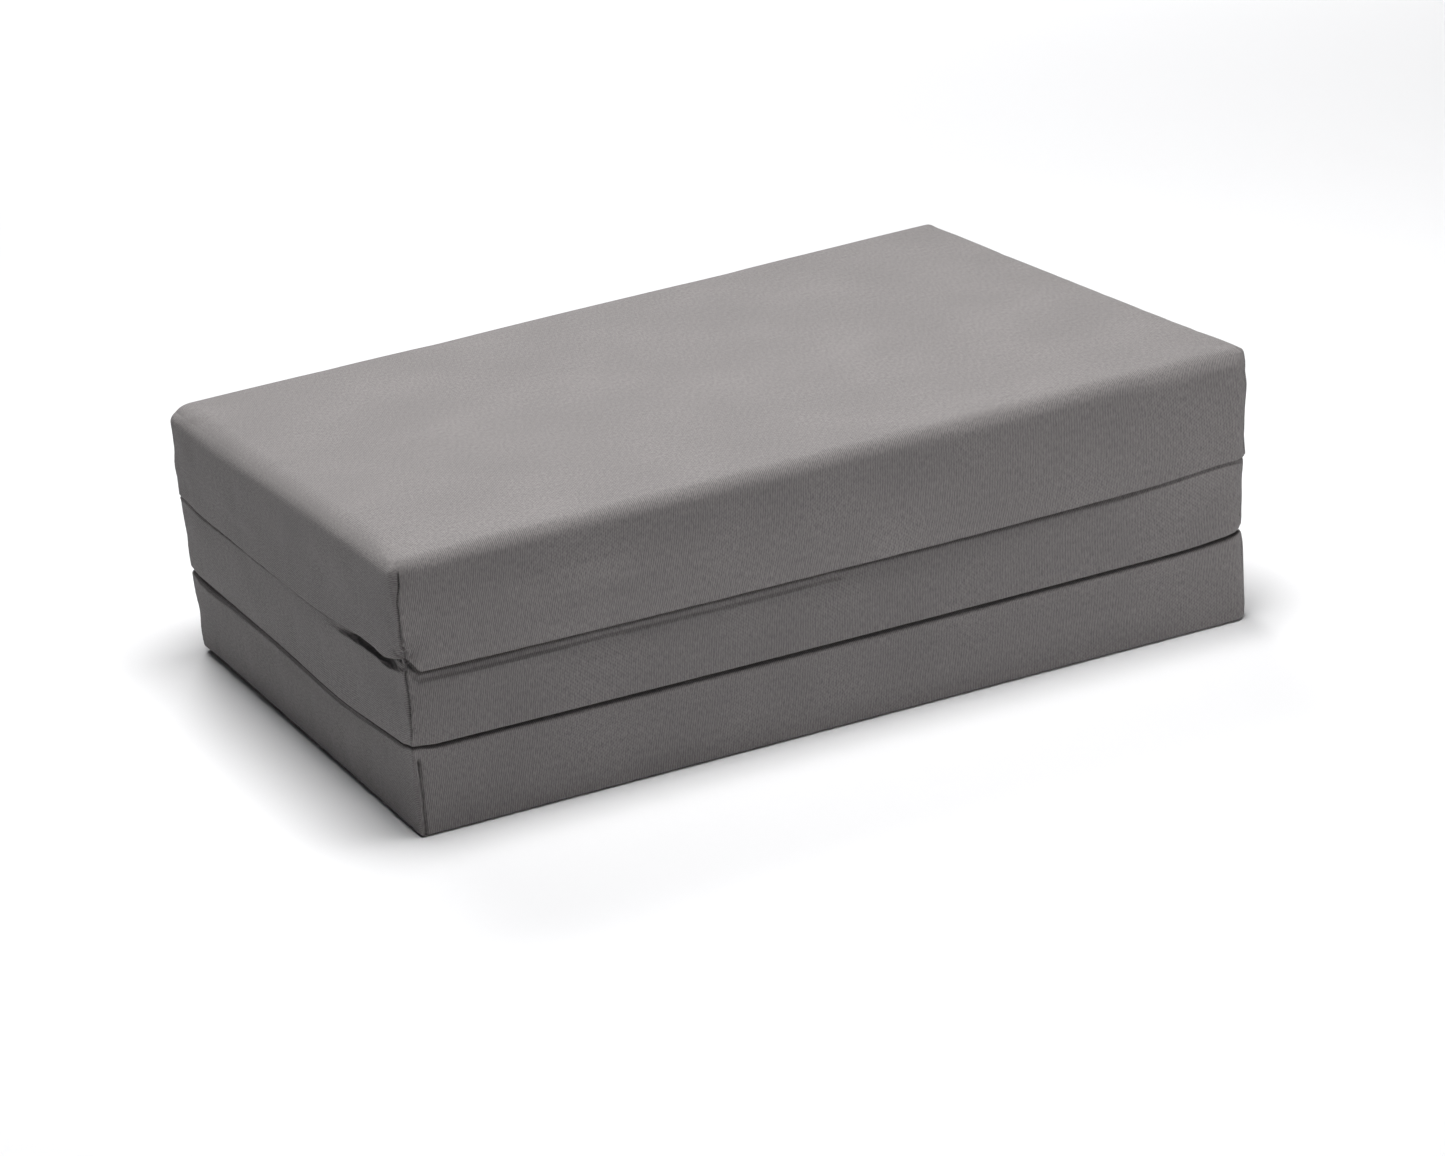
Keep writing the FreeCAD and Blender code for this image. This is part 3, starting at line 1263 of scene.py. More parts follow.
    def add_corner_seams(self, points: Array, normals: Array) -> Array:
        """Sews the four corners: a groove along each, and a pucker beside it at every stitch.

        The groove is a bell curve of the distance from the seam. A pucker's height is a sine of z
        with the stitch's pitch, which dies away with the distance and is strongest on the long walls.

        Args:
            points: The points so far.
            normals: Their outward normals.

        Returns:
            The moved points.
        """
        flat = self.lattice.points
        distance, on_long = self.seam_distance(flat)
        from_face = self.half_height - flat[:, 2] * self.face_sign
        sewn = smooth(from_face, 6.0, 9.0)
        slit = bell(from_face, 10.0, 3.5) * bell(distance, 0.0, 0.8)
        groove = self.seam_depth * bell(distance, 0.0, self.seam_width) * sewn + 1.2 * slit
        wave = np.sin(TAU * (from_face - 0.5 * distance) / self.stitch_pitch)
        strength = (0.25 + 0.75 * on_long) * np.where(flat[:, 0] < 0, 1.0, 0.55)
        pucker = self.pucker_height * strength * wave * np.exp(-distance / 3.2) * sewn
        pucker = pucker * (1 - bell(distance, 0.0, 0.6))
        groove = groove * (0.85 + 0.15 * wave)
        return points + normals * (pucker - groove)[:, None]

    def add_back_seam(self, points: Array, normals: Array) -> Array:
        """Sews the back sheet's edge: a groove round the back face, 3.5 mm in, with small puckers.

        Args:
            points: The points so far.
            normals: Their outward normals.

        Returns:
            The moved points.
        """
        x, y, z = self.lattice.points.T
        on_back = (z * self.face_sign <= -self.half_height).astype(float)
        inset = np.minimum(self.half_length - np.abs(x), self.half_width - np.abs(y))
        along = np.where(self.half_length - np.abs(x) < self.half_width - np.abs(y), y, x)
        pucker = 0.12 * np.sin(TAU * along / self.stitch_pitch) * bell(inset, 5.5, 2.0)
        return points + normals * (on_back * (pucker - 0.5 * bell(inset, 3.5, 0.9)))[:, None]

    def pinched(self, points: Array, pinch: Pinch) -> Array:
        """Draws cloth in at a pinch by a bell curve of the distance from it, and adds creases.

        A crease's height is a sine of nine times the angle above the level, which dies away.

        Args:
            points: Points in the panel's own frame.
            pinch: The pinch.

        Returns:
            The moved points.
        """
        offset = points - np.array([pinch.x, pinch.y, pinch.z])
        distance = np.linalg.norm(offset, axis=1)
        inward = np.array([-np.sign(pinch.x), -np.sign(pinch.y), 0.0]) / math.sqrt(2)
        angle = np.arctan2(offset[:, 2], np.hypot(offset[:, 0], offset[:, 1]))
        fan = np.sin(angle * 9.0 + 0.6) * np.exp(-distance / (1.6 * pinch.reach)) * smooth(distance, 1, 5)
        amount = pinch.depth * bell(distance, 0.0, pinch.reach) - pinch.creases * fan
        return points + inward * amount[:, None]

    def add_zip_opening(self, points: Array) -> Array:
        """Flattens the right-hand wall round the zip, and turns it in to a straight slot.

        The wall is flat wherever the pull can lie. A hem of 0.45 mm runs beside the slot, whose floor
        carries the tapes.

        Args:
            points: The points so far.

        Returns:
            The moved points.
        """
        flat = self.lattice.points
        on_wall = flat[:, 0] >= self.half_length
        y, z = np.abs(flat[:, 1]), np.abs(flat[:, 2])
        inside = (y <= self.SLOT_HALF_LENGTH) & (z <= self.SLOT_HALF_HEIGHT)
        lip = smooth(z, self.PULL_ROOM + self.LIP_FADE, self.PULL_ROOM)
        lip *= smooth(y, self.SLOT_HALF_LENGTH + self.LIP_BEYOND_ZIP, self.SLOT_HALF_LENGTH + 2.0)
        result = points.copy()
        near = on_wall & (lip > 0)
        result[near, 0] += (self.half_length - result[near, 0]) * lip[near]
        hem = bell(z, self.SLOT_HALF_HEIGHT + 2.0, 1.2) * smooth(y, 186.0, 180.0)
        result[on_wall, 0] += 0.45 * hem[on_wall]
        result[on_wall & inside, 0] = self.half_length - self.SLOT_DEPTH
        return result

    def cloth_uv(self, side: Side, flat: Array) -> Array:
        """Where each point lies on the flat cloth, in metres, if its quad is on that side.

        The shell is one cloth, so a wall's coordinates run on from the sleeping face's over the rim:
        down a wall, the distance from the face is added to the face's own coordinate.

        Args:
            side: The quad's side.
            flat: Lattice points.

        Returns:
            Two cloth coordinates for each point.
        """
        x, y, z = flat.T
        drop = self.half_height - z if self.face_up else z + self.half_height
        u, v = x.copy(), y.copy()
        if side is Side.FRONT:
            v = -self.half_width - drop
        elif side is Side.BACK:
            v = self.half_width + drop
        elif side is Side.LEFT:
            u = -self.half_length - drop
        elif side is Side.RIGHT:
            u = self.half_length + drop
        return np.stack([u, v], -1) * MM

    def shape(self) -> None:
        """Works out the cover's final surface on the fine lattice."""
        self.lattice = BoxLattice(
            graded_lines(self.half_length, 0.32, 0.06, 5.0),
            graded_lines(self.half_width, 0.32, 0.06, 5.0, (-self.SLOT_HALF_LENGTH, self.SLOT_HALF_LENGTH)),
            graded_lines(self.half_height, 0.40, 0.08, 1.1, (-self.SLOT_HALF_HEIGHT, self.SLOT_HALF_HEIGHT)),
        )
        points = self.rounded(self.lattice.points) + self.relaxed().at(self.lattice)
        steps = (self.add_barrel, self.add_swells, self.add_sags, self.add_unevenness, self.add_hem)
        for step in (*steps, self.leaned):
            points = step(points)
        normals = vertex_normals(points, self.lattice.all_quads())
        points = self.add_corner_seams(points, normals)
        points = self.add_back_seam(points, normals)
        for pinch in self.pinches:
            points = self.pinched(points, pinch)
        self.shaped = self.add_zip_opening(points)
        if self.low <= 0:
            self.shaped[:, 2] = np.maximum(self.shaped[:, 2], -self.half_height)

    def place(self, points: Array) -> Array:
        """Moves points from the panel's own middle to its height in the stack."""
        return points + np.array([0.0, 0.0, self.middle])

    def build_cover(self, finish: bpy.types.Material) -> bpy.types.Object:
        """Makes the cover and lets it stand for the shell and the back sheet.

        Args:
            finish: The cloth.

        Returns:
            The cover.
        """
        flat, quads = self.lattice.points, self.lattice.quads
        uv = np.concatenate([self.cloth_uv(side, flat)[quads[side]].reshape(-1, 2) for side in Side])
        cover = make_object(f"{self.name}_cover", self.place(self.shaped), self.lattice.all_quads(), uv)
        dress(cover, finish, f"{self.name}_panel")
        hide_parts(f"{self.name}_cover_shell", f"{self.name}_cover_back_sheet")
        return cover

    def build_foam(self, finish: bpy.types.Material) -> bpy.types.Object:
        """Makes the foam block: the cover's own rounded and leaned form, a little smaller all round.

        It is cut away wherever the cover turns in: behind the ledge, at the pinches, behind the flat
        wall round the zip, and in a groove that the slider and the tapes lie in.

        Args:
            finish: The foam.

        Returns:
            The block, which stands for the design's.
        """
        node = f"{self.name}_foam_block"
        low, high = node_box(node)
        upper_rims, lower_rims = (
            {side: Rim(max(r.start - 1.0, 1.5), max(r.end - 1.0, 1.5), r.tall) for side, r in rims.items()}
            for rims in (self.upper_rims, self.lower_rims)
        )
        swells = ()
        if self.tucked_under is not None:
            hem = self.tucked_under
            cut = -(hem.ledge_depth + self.FOAM_CLEARANCE)
            reach = 1.5 * hem.ledge_reach
            swells = (
                Swell(Side.LEFT, hem.ledge_along, self.LEDGE_CUT_HEIGHT, reach, self.LEDGE_CUT_REACH, cut),
            )
        block = replace(
            self,
            low=self.low + self.FOAM_CLEARANCE,
            high=self.high - self.FOAM_CLEARANCE,
            upper_rims=upper_rims,
            lower_rims=lower_rims,
            swells=swells,
            half_length=(high[0] - low[0]) / 2 - self.FOAM_CLEARANCE,
            half_width=(high[1] - low[1]) / 2 - self.FOAM_CLEARANCE,
            corner_radius=self.corner_radius + 6.0,
            near_right_radius=self.near_right_radius + 4.0,
        )
        block.lattice = BoxLattice(*(graded_lines(half, 0.8, 0.12, 7.0) for half in block.half))
        points = block.leaned(block.add_swells(block.add_sags(block.rounded(block.lattice.points))))
        for pinch in self.pinches:
            deeper = replace(pinch, depth=pinch.depth + 3.0, reach=1.4 * pinch.reach, creases=0.0)
            points = block.pinched(points, deeper)
        y, z = np.abs(points[:, 1]), np.abs(points[:, 2])
        out_of_groove = self.BEHIND_LIP * smooth(z, self.SLIDER_HALF_ROOM, self.SLIDER_HALF_ROOM + 5.0)
        groove = self.half_length - self.SLIDER_ROOM + out_of_groove
        lip = smooth(z, self.PULL_ROOM, self.PULL_ROOM + self.LIP_FADE)
        wall = self.half_length - self.FOAM_CLEARANCE + self.BEHIND_LIP * lip
        points[:, 0] = np.minimum(points[:, 0], wall)
        groove = np.where(y < self.SLIDER_HALF_TRAVEL, groove, np.inf)
        points[:, 0] = np.minimum(points[:, 0], groove)
        dent = 0.25 * ripple(points[:, 0], points[:, 1] + 1.7 * points[:, 2], 22.0, self.seed + 5)
        quads = block.lattice.all_quads()
        points = points + vertex_normals(points, quads) * (dent - 0.25)[:, None]
        middle = np.array([(low[0] + high[0]) / 2, (low[1] + high[1]) / 2, 0.0])
        foam = make_object(node + "_cut", self.place(points + middle), quads)
        dress(foam, finish, f"{self.name}_panel")
        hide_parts(node)
        return foam

    def build_corner_stitches(self, finish: bpy.types.Material) -> bpy.types.Object:
        """Sews a row of stitches beside each corner seam, one to each pucker.

        Args:
            finish: The thread.

        Returns:
            All four rows as one piece.
        """
        count = int((2 * self.half_height - 14.0) // self.stitch_pitch)
        from_face = self.FIRST_STITCH + self.stitch_pitch * np.arange(count)
        heights = self.face_sign * (self.half_height - from_face)
        spots = []
        for x_sign in (-1, 1):
            for row, y_sign in ((0, -1), (-1, 1)):
                shift = self.seam_shift if (x_sign, y_sign) == (-1, -1) else 0.0
                place = x_sign * (self.half_length - self.STITCH_FROM_SEAM - shift)
                column = self.lattice.index[np.argmin(np.abs(self.lattice.xs - place)), row]
                line = self.shaped[column]
                spot = [np.interp(heights, self.lattice.zs, line[:, axis]) for axis in range(3)]
                spots.append(np.stack(spot, -1) + np.array([0.0, 0.08 * y_sign, 0.0]))
        places = self.place(np.concatenate(spots))
        upright = np.array([0.0, 0.0, 1.0])
        return self.sew(f"{self.name}_corner_stitches", places, upright, self.STITCH_LENGTH, finish)

    def build_zip_stitches(self, finish: bpy.types.Material) -> bpy.types.Object:
        """Topstitches the hem above and below the zip.

        Args:
            finish: The thread.

        Returns:
            Both rows as one piece.
        """
        count = int(2 * (self.SLOT_HALF_LENGTH - 4.0) // self.TOPSTITCH_PITCH)
        along = (np.arange(count) - (count - 1) / 2) * self.TOPSTITCH_PITCH
        spots = []
        for sign in (-1, 1):
            height = sign * (self.SLOT_HALF_HEIGHT + self.TOPSTITCH_FROM_SLOT)
            level = np.argmin(np.abs(self.lattice.zs - height))
            line = self.shaped[self.lattice.index[-1, :, level]]
            spots.append(np.stack([np.interp(along, line[:, 1], line[:, axis]) for axis in range(3)], -1))
        places = self.place(np.concatenate(spots)) + np.array([0.1, 0.0, 0.0])
        level_way = np.array([0.0, 1.0, 0.0])
        return self.sew(f"{self.name}_zip_topstitch", places, level_way, self.TOPSTITCH_LENGTH, finish)

    def sew(
        self, name: str, places: Array, way: Array, length: float, finish: bpy.types.Material
    ) -> bpy.types.Object:
        """Lays one short, bowed thread at each place: its ends dip into the cloth.

        Args:
            name: The piece's name.
            places: Middles of the stitches.
            way: Unit direction of the stitches.
            length: Length of a stitch.
            finish: The thread.

        Returns:
            The stitches as one piece.
        """
        share = np.linspace(-1, 1, 5)
        path = share[:, None] * way * length / 2
        radii = self.THREAD_RADIUS * np.array([0.5, 1.0, 1.0, 1.0, 0.5])
        side = np.array([1.0, 0.0, 0.0])
        template = tube_points(path, side, radii, 6)
        faces = tube_faces(5, 6)
        points, quads = repeated(template.reshape(-1, 3), faces, places)
        stitches = make_object(name, points, outward(points, quads))
        return dress(stitches, finish, f"{self.name}_panel")


@dataclass
class Overhang:
    """The fold of the top cover's walls that hangs down over the upper fold line, all round."""

    panel: Panel
    hem: HemLine
    merge_above: float = 24.0
    lowest_read: float = 4.5
    cloth_step: float = 0.1
    thin_roll: float = 0.35
    full_roll: float = 0.45
    lining_gap: float = 0.3
    rows: int = 34

    def read_wall(self, rings: Array, height: Array) -> Array:
        """Reads the cover's wall at given heights, evenly between its two nearest rows.

        Args:
            rings: The cover's rows, from the lowest up: rows by columns by 3.
            height: Heights to read each column at: rows by columns.

        Returns:
            The wall's points: rows by columns by 3.
        """
        below = (rings[None, :, :, 2] <= height[:, None, :]).sum(axis=1) - 1
        below = np.clip(below, 0, len(rings) - 2)
        column = np.arange(rings.shape[1])[None]
        low, high = rings[below, column], rings[below + 1, column]
        share = (height - low[:, :, 2]) / (high[:, :, 2] - low[:, :, 2])
        return low + (high - low) * share[:, :, None]

    def build(self, finish: bpy.types.Material) -> bpy.types.Object:
        """Makes the fold as a closed ring: down the wall, flaring out, round the hem and up inside.

        The first rows lie just inside the cover's own wall and come out through it at a flat angle, so
        that the cloth runs on. The hem is half a circle. The lining follows every second row of the
        wall back up, a little further in.

        Args:
            finish: The cloth.

        Returns:
            The overhang.
        """
        panel, lattice = self.panel, self.panel.lattice
        floor_of_wall = -panel.half_height + self.lowest_read
        kept = np.flatnonzero(lattice.zs >= floor_of_wall)
        rings = np.stack([panel.shaped[lattice.ring(k)] for k in kept])
        flat = lattice.points[lattice.ring(0)]
        sides = np.array(lattice.ring_sides(), dtype=object)
        inner_box = panel.half[:2] - panel.corner_radius
        out = flat[:, :2] - np.clip(flat[:, :2], -inner_box, inner_box)
        out = np.concatenate([out / np.linalg.norm(out, axis=1, keepdims=True), np.zeros((len(out), 1))], 1)
        top = -panel.half_height + self.merge_above
        edge = self.hem.at(flat[:, 0], flat[:, 1]) - panel.middle
        share = np.linspace(0, 1, self.rows)[:, None]
        height = top + (edge + self.thin_roll + self.full_roll - top) * share
        read = np.maximum(height, rings[0, :, 2][None])
        wall = self.read_wall(rings, read)
        wall[:, :, 2] = height
        x, y = flat[None, :, 0], flat[None, :, 1]
        below = self.hem.stand_off(x, y, height + panel.middle)
        below = below - self.hem.stand_off(x, y, read + panel.middle)
        wall += out * (below + self.cloth_step * (smooth(share, 0.0, 0.45) - 0.5) * 2)[:, :, None]
        roll = out * (self.thin_roll + self.full_roll * self.hem.share(flat[:, 0], flat[:, 1]))[:, None]
        turn = np.linspace(0, math.pi, 7)[1:, None, None]
        down = np.linalg.norm(roll, axis=1, keepdims=True) * np.array([0.0, 0.0, 1.0])
        hem = wall[-1] - roll + np.cos(turn) * roll - np.sin(turn) * down
        lining = wall[-3::-2]
        inner = lining - 2 * roll - out * self.lining_gap * np.linspace(0, 1, len(lining))[:, None, None]
        points = np.concatenate([wall, hem, inner])
        for pinch in panel.pinches:
            points = panel.pinched(points.reshape(-1, 3), pinch).reshape(points.shape)
        return self.finish_ring(points, flat, sides, finish)

    def finish_ring(
        self, points: Array, flat: Array, sides: Array, finish: bpy.types.Material
    ) -> bpy.types.Object:
        """Joins the rows into quads that close both ways, and gives them the wall's cloth coordinates.

        Args:
            points: The ring: rows by columns by 3.
            flat: Each column's place on the panel's sharp box.
            sides: The side on which each column lies.
            finish: The cloth.

        Returns:
            The overhang.
        """
        panel = self.panel
        rows, columns = points.shape[:2]
        row, column = np.meshgrid(np.arange(rows), np.arange(columns), indexing="ij")
        next_row, next_column = (row + 1) % rows, (column + 1) % columns
        corners = ((row, column), (row, next_column), (next_row, next_column), (next_row, column))
        quads = np.stack([r * columns + c for r, c in corners], -1).reshape(-1, 4)
        step = np.linalg.norm(np.diff(points, axis=0, append=points[-1:]), axis=2)
        drop = panel.half_height - points[0, :, 2] + np.cumsum(step, axis=0) - step
        uv = np.empty((rows, columns, 4, 2))
        for i, (r, c) in enumerate(corners):
            along = np.where(np.isin(sides, (Side.FRONT, Side.BACK))[None], flat[c, 0], flat[c, 1])
            down = drop[r, c]
            front, right, back, left = (
                np.broadcast_to((sides == side)[None], r.shape) for side in WALLS_ROUND
            )
            uv[:, :, i, 0] = np.select(
                [front | back, right, left], [along, panel.half_length + down, -panel.half_length - down]
            )
            uv[:, :, i, 1] = np.select(
                [front, back, right | left], [-panel.half_width - down, panel.half_width + down, along]
            )
        flat_points = panel.place(points.reshape(-1, 3))
        turned = outward(flat_points, quads)
        uv = uv.reshape(-1, 4, 2)
        if turned is not quads:
            uv = uv[:, ::-1]
        hang = make_object("top_cover_overhang", flat_points, turned, uv.reshape(-1, 2) * MM)
        dress(hang, finish, "top_panel")
        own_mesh(hang)
        return hang


class Fold(Enum):
    """The two folds: lower body, upper body, and which way out the fold's edge looks."""

    BACK = ("back_fold_tape", "bottom", "middle", 1)
    FRONT = ("front_fold_tape", "middle", "top", -1)


@dataclass
class FoldTape:
    """One woven tape that hinges two panels: two legs, joined by a tight bend at the fold line."""

    fold: Fold
    thickness: float = 0.4
    end_trim: float = 12.0
    tucked: float = 0.3
    inset: float = 0.02
    along_steps: int = 150
    leg_steps: int = 9
    bend_steps: int = 12

    def build(self, finish: bpy.types.Material) -> bpy.types.Object:
        """Makes the tape: a U-shaped profile, its two legs joined by a bend round the fold line, carried
        along x.

        Args:
            finish: The tape's cloth.

        Returns:
            The tape, which stands for the design's two legs.
        """
        name, lower, upper, way = self.fold.value
        nodes = [f"{name}_{lower}_leg", f"{name}_{upper}_leg"]
        (low_a, high_a), (low_b, high_b) = (node_box(node) for node in nodes)
        inner, outer = sorted((abs(low_a[1]), abs(high_a[1])))
        z_low, z_high = (low_a[2] + high_a[2]) / 2, (low_b[2] + high_b[2]) / 2
        bend = (z_high - z_low) / 2
        reach = outer - bend - self.thickness / 2 - self.tucked
        legs = np.linspace(inner, reach, self.leg_steps)
        angle = np.linspace(-math.pi / 2, math.pi / 2, self.bend_steps)
        fold_line = (z_low + z_high) / 2
        turn = np.stack([reach + bend * np.cos(angle), fold_line + bend * np.sin(angle)], -1)
        centre = np.concatenate(
            [
                np.stack([legs, np.full_like(legs, z_low)], -1),
                turn[1:-1],
                np.stack([legs[::-1], np.full_like(legs, z_high)], -1),
            ]
        )
        run = np.gradient(centre, axis=0)
        run /= np.linalg.norm(run, axis=1, keepdims=True)
        square = np.stack([run[:, 1], -run[:, 0]], -1) * (self.thickness / 2 - self.inset)
        profile = np.concatenate([centre + square, (centre - square)[::-1]])
        xs = np.linspace(low_a[0] + self.end_trim, high_a[0] - self.end_trim, self.along_steps)
        points = np.empty((len(xs), len(profile), 3))
        points[:, :, 0] = xs[:, None]
        points[:, :, 1] = profile[:, 0] * way
        points[:, :, 2] = profile[:, 1]
        quads = tube_faces(len(xs), len(profile))
        flat = points.reshape(-1, 3)
        quads = outward(flat, quads)
        length = np.concatenate([[0.0], np.cumsum(np.linalg.norm(np.diff(profile, axis=0), axis=1))])
        cloth = np.stack([flat[:, 0], np.tile(length, len(xs))], -1) * MM
        tape = make_object(name, flat, quads, cloth[quads].reshape(-1, 2))
        tape.data.materials.append(finish)
        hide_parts(*nodes)
        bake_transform(tape)
        return tape


@dataclass
class CoilZip:
    """One closed coil zip: two rows of nylon coils on their tapes, with stops, slider and pull."""

    name: str
    pitch: float = 1.4
    wire_radius: float = 0.3
    path_points: int = 6
    around: int = 6

    def build_coil(self, half: str, sign: int, offset: float, finish: bpy.types.Material) -> bpy.types.Object:
        """Makes one row: a U-shaped loop of wire at every pitch, its head over the zip's middle.

        Args:
            half: The row's name, face_side or back_side.
            sign: 1 if the row's tape lies above the middle, or -1 if below.
            offset: How far along y the row starts, so that the two rows mesh.
            finish: The nylon.

        Returns:
            The row, which stands for the design's solid chain.
        """
        node = f"{self.name}_zip_coil_{half}"
        low, high = node_box(node)
        away = max if sign > 0 else min
        root = away(low[2], high[2])
        front, back = high[0] - self.wire_radius, low[0] + self.wire_radius
        middle = (front + back) / 2
        head = root - sign * (high[2] - low[2])
        angle = np.linspace(-math.pi / 2, math.pi / 2, self.path_points - 2)
        reach = (front - back) / 2
        bow = np.stack(
            [middle + reach * np.sin(angle), np.zeros_like(angle), head - sign * 0.9 * np.cos(angle)], -1
        )
        path = np.concatenate([[(back, 0.0, root)], bow, [(front, 0.0, root)]])
        radii = np.full(len(path), self.wire_radius)
        radii[2:-2] *= 1.15
        template = tube_points(path, np.array([0.0, 1.0, 0.0]), radii, self.around)
        count = int((high[1] - low[1]) // self.pitch) - 1
        along = (low[1] + high[1]) / 2 + (np.arange(count) - (count - 1) / 2) * self.pitch + offset
        places = np.stack([np.zeros(count), along, np.zeros(count)], -1)
        points, quads = repeated(template.reshape(-1, 3), tube_faces(len(path), self.around), places)
        coil = make_object(f"{node}_teeth", points, outward(points, quads))
        dress(coil, finish, f"{self.name}_panel")
        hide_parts(node)
        return coil

    def dress_design(
        self, tape: bpy.types.Material, metal: bpy.types.Material, nylon: bpy.types.Material
    ) -> None:
        """Gives the design's own tapes, stops, slider and pull their finishes.

        Args:
            tape: The tapes' cloth.
            metal: The slider's and the pull's enamel.
            nylon: The stops' nylon.
        """
        finishes = {
            "zip_tape_face_side": tape,
            "zip_tape_back_side": tape,
            "zip_stops": nylon,
            "zip_slider": metal,
            "zip_pull": metal,
        }
        for part, finish in finishes.items():
            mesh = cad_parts[f"{self.name}_{part}"].data
            mesh.materials.clear()
            mesh.materials.append(finish)


# --------------------------------------------------------------------------- studio


@dataclass(frozen=True)
class SoftLight:
    """A square soft light: its place and aim in metres, its width, its power and its cone."""

    name: str
    place: tuple[float, float, float]
    aim: tuple[float, float, float]
    width_m: float
    watts: float
    cone: float = 180.0

    def build(self) -> None:
        """Adds the light, turned to its aim."""
        data = bpy.data.lights.new(self.name, "AREA")
        data.size = self.width_m
        data.spread = math.radians(self.cone)
        data.energy = self.watts
        light = bpy.data.objects.new(self.name, data)
        light.location = self.place
        light.rotation_mode = "QUATERNION"
        light.rotation_quaternion = (Vector(self.aim) - Vector(self.place)).to_track_quat("-Z", "Y")
        bpy.context.scene.collection.objects.link(light)


@dataclass(frozen=True)
class Studio:
    """A pale floor, soft lights and the camera.

    One light hangs over the mattress, one lights the floor behind it and a weak one fills its front.
    Those in floor_lights look straight down at the floor all round, so that it stays near white.
    """

    aim_m: tuple[float, float, float] = (-0.0007, -0.0177, 0.0456)
    distance_m: float = 3.038
    azimuth: float = -24.62
    elevation: float = 20.22
    roll: float = -5.06
    lens_mm: float = 113.5
    sensor_mm: float = 36.0
    floor_half_m: float = 30.0
    lights: tuple[SoftLight, ...] = (
        SoftLight("overhead", (0.02, -0.2, 1.9), (0.0, -0.1, 0.0), 1.0, 51.0),
        SoftLight("behind", (0.5, 3.6, 3.2), (0.3, 3.8, 0.0), 2.0, 200.0),
        SoftLight("front_fill", (0.95, -1.15, 0.25), (0.15, -0.15, 0.03), 0.4, 3.8),
    )
    floor_lights: tuple[tuple[float, float], ...] = (
        (-3.9, 1.4),
        (3.9, -1.4),
        (3.2, 3.2),
        (-1.2, -4.0),
        (-3.6, -2.6),
    )

    def build_camera(self) -> None:
        """Places the camera on a sphere round its aim, then rolls it about its own line of sight."""
        a, e, r = (math.radians(x) for x in (self.azimuth, self.elevation, self.roll))
        back = Vector((math.sin(a) * math.cos(e), -math.cos(a) * math.cos(e), math.sin(e)))
        level_right = Vector((math.cos(a), math.sin(a), 0.0))
        level_up = back.cross(level_right)
        right = level_right * math.cos(r) + level_up * math.sin(r)
        up = back.cross(right)
        camera = bpy.data.objects.new("camera", bpy.data.cameras.new("camera"))
        place = Vector(self.aim_m) + back * self.distance_m
        turn = Matrix((right, up, back)).transposed().to_4x4()
        camera.matrix_world = Matrix.Translation(place) @ turn
        camera.data.lens = self.lens_mm
        camera.data.sensor_width = self.sensor_mm
        bpy.context.scene.collection.objects.link(camera)
        bpy.context.scene.camera = camera

    def build_floor(self) -> None:
        """Lays a wide, plain, near-white floor under the mattress."""
        h = self.floor_half_m / MM
        corners = np.array([(-h, -h, 0), (h, -h, 0), (h, h, 0), (-h, h, 0)], float)
        floor = make_object("floor", corners, np.array([[0, 1, 2, 3]]))
        made, _, shader = new_material("matt_white_floor", {"Roughness": 0.95, "Specular IOR Level": 0.1})
        shader.inputs["Base Color"].default_value = linear("DCDCDD")
        floor.data.materials.append(made)

    def build_lights(self) -> None:
        """Adds every light, and a pale, weak surround."""
        over_floor = (
            SoftLight(f"floor_{x}_{y}", (x, y, 3.2), (x, y, 0.0), 2.2, 70.0, 85.0)
            for x, y in self.floor_lights
        )
        for light in (*self.lights, *over_floor):
            light.build()
        world = bpy.data.worlds.new("surround")
        world.use_nodes = True
        world.node_tree.nodes["Background"].inputs["Color"].default_value = (0.92, 0.96, 1.0, 1.0)
        world.node_tree.nodes["Background"].inputs["Strength"].default_value = 0.03
        bpy.context.scene.world = world
        bpy.context.scene.view_settings.view_transform = "Standard"


HEM_LINE = HemLine()


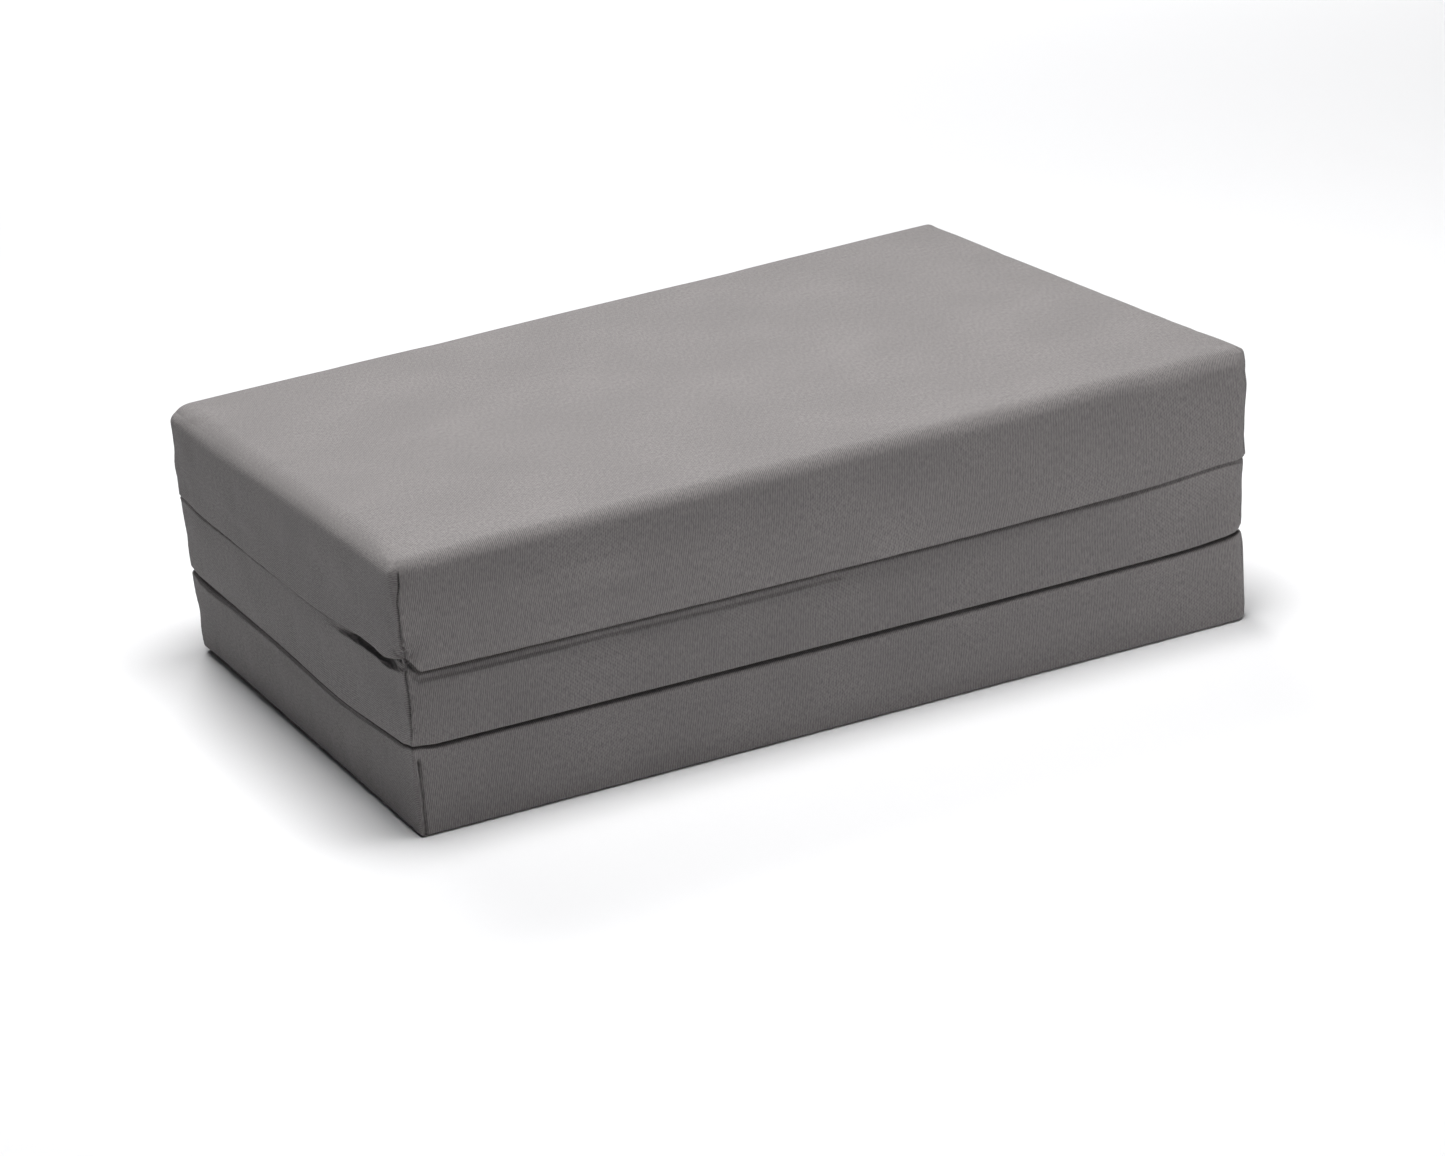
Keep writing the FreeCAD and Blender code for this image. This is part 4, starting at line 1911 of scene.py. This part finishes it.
def panels() -> list[Panel]:
    """The three panels from the bottom up, with what sets each apart.

    Returns:
        The bottom, middle and top panels.
    """
    front, back, left, right = Side.FRONT, Side.BACK, Side.LEFT, Side.RIGHT
    bottom = Panel(
        name="bottom",
        face_up=True,
        low=0.0,
        high=59.2,
        upper_rims={front: Rim(2.4, 2.4), back: Rim(2.5, 2.5), left: Rim(1.8, 3), right: Rim(4, 4)},
        lower_rims={front: Rim(3, 3), back: Rim(3, 3), left: Rim(3.5, 8), right: Rim(3, 3)},
        pinned=(Side.LOWER, Side.UPPER),
        barrel={front: 0.3, back: -0.6, left: 1.0, right: 0.8},
        swells=(
            Swell(front, 0, 3, 240, 11, -0.7),
            Swell(front, 0, 24, 260, 7, 0.5),
        ),
        sags=(
            Sag(front, True, 0, 420, 4.4),
            Sag(front, True, 300, 34, -3.0),
            Sag(left, True, 0, 240, 4.4),
            Sag(left, True, -80, 75, 4.2),
            Sag(left, True, 165, 40, 2.6),
        ),
        leans=(
            Lean((-1, -1, -1), (0.0, 2.0, 0.0)),
            Lean((1, -1, -1), (-4.0, 0.0, 0.0), 40.0),
            Lean((-1, 1, -1), (4.0, -2.1, 0.0)),
            Lean((1, -1, 1), (-2.8, 0.0, 0.0), 40.0),
            Lean((-1, 1, 1), (2.4, -1.0, 0.0)),
            Lean((-1, -1, 1), (0.0, 1.3, 0.0)),
        ),
        pinches=(Pinch(300, -200, 29, 7, 1.3),),
        seam_shift=3.5,
        seed=11,
    )
    middle = Panel(
        name="middle",
        face_up=False,
        low=60.4,
        high=119.6,
        upper_rims={front: Rim(3, 3), back: Rim(3, 3), left: Rim(4, 4), right: Rim(3, 3)},
        lower_rims={front: Rim(1.8, 1.8), back: Rim(2.5, 2.5), left: Rim(1.8, 2.5), right: Rim(5, 5)},
        pinned=(Side.LOWER, Side.UPPER),
        barrel={front: 0.9, back: -0.6, left: 0.6, right: 0.6},
        swells=(
            Swell(front, -120, -8, 300, 14, 1.2),
            Swell(front, -235, 8, 60, 10, 1.4),
            Swell(right, -200, 0, 26, 24, -0.8),
        ),
        tucked_under=HEM_LINE,
        sags=(
            Sag(front, False, 0, 420, 3.0),
            Sag(front, False, 300, 34, -3.0),
            Sag(left, False, 0, 240, 4.2),
            Sag(left, False, -80, 75, 4.2),
        ),
        leans=(
            Lean((-1, -1, -1), (0.0, 1.3, 0.0)),
            Lean((1, -1, -1), (-2.8, 0.0, 0.0), 40.0),
            Lean((-1, 1, -1), (2.4, -1.0, 0.0)),
            Lean((1, -1, 1), (1.6, 0.0, 0.0)),
            Lean((-1, 1, 1), (0.7, -1.2, 0.0)),
        ),
        pinches=(Pinch(-300, -200, 27.5, 8, 2.6, 0.25), Pinch(300, -200, -29, 7, 1.3)),
        seed=12,
    )
    top = Panel(
        name="top",
        face_up=True,
        low=120.8,
        high=180.0,
        upper_rims={front: Rim(10, 11), back: Rim(7, 5), left: Rim(15, 17, 0.85), right: Rim(13, 10)},
        lower_rims={front: Rim(3, 3), back: Rim(3, 3), left: Rim(3, 3), right: Rim(3, 3)},
        pinned=(Side.LOWER,),
        barrel={front: 0.2, back: -0.3, left: 0.4, right: 0.6},
        swells=(
            Swell(front, -80, 0, 260, 15, -1.4),
            Swell(front, -215, 4, 95, 12, -2.0),
            Swell(left, 0, -4, 160, 15, -0.6),
        ),
        leans=(
            Lean((1, -1, 1), (9.6, -0.6, 6.6)),
            Lean((-1, 1, 1), (-0.9, -0.8, -3.2)),
            Lean((1, 1, 1), (-7.0, 2.8, 6.4)),
            Lean((1, -1, -1), (1.6, 0.0, 0.0)),
            Lean((-1, 1, -1), (0.7, -1.2, 0.0)),
        ),
        pinches=(Pinch(-300, -200, -33, 9, 3.0, 0.35),),
        flares_to=HEM_LINE,
        near_right_radius=12.0,
        seed=13,
    )
    return [bottom, middle, top]


def main() -> None:
    """Builds the studio and every piece, and reports each one."""
    logging.basicConfig(level=logging.INFO, format="%(message)s")
    studio = Studio()
    studio.build_camera()
    studio.build_floor()
    studio.build_lights()
    twill = TwillCloth().build()
    foam = CutFoam().build()
    fold_tape = WovenTape("polyester_fold_tape_charcoal", "4A4746", "353231", on_cloth=True).build()
    zip_tape = WovenTape("polyester_zip_tape_grey", "6A6664", "54504F").build()
    thread = PlainFinish("polyester_thread_grey", "4B4846", "343130", 0.6, 0.3, 0.03, sheen=0.1).build()
    nylon = PlainFinish("moulded_nylon_grey", "676361", "5A5654", 0.38, 0.5, 0.01).build()
    enamel = PlainFinish("enamelled_zinc_grey", "575452", "4C4948", 0.3, 1.2, 0.02).build()
    pieces: list[bpy.types.Object] = []
    stack = panels()
    for panel in stack:
        panel.shape()
        pieces.append(panel.build_cover(twill))
        pieces.append(panel.build_foam(foam))
        pieces.append(panel.build_corner_stitches(thread))
        pieces.append(panel.build_zip_stitches(thread))
        zip_fastener = CoilZip(panel.name)
        half_pitch = zip_fastener.pitch / 2
        pieces.append(zip_fastener.build_coil("face_side", panel.face_sign, 0.0, nylon))
        pieces.append(zip_fastener.build_coil("back_side", -panel.face_sign, half_pitch, nylon))
        zip_fastener.dress_design(zip_tape, enamel, nylon)
    pieces.append(Overhang(stack[-1], HEM_LINE).build(twill))
    pieces.extend(FoldTape(fold).build(fold_tape) for fold in Fold)
    for piece in pieces:
        LOG.info("%s: %d quads", piece.name, len(piece.data.polygons))


if __name__ == "__main__":
    main()
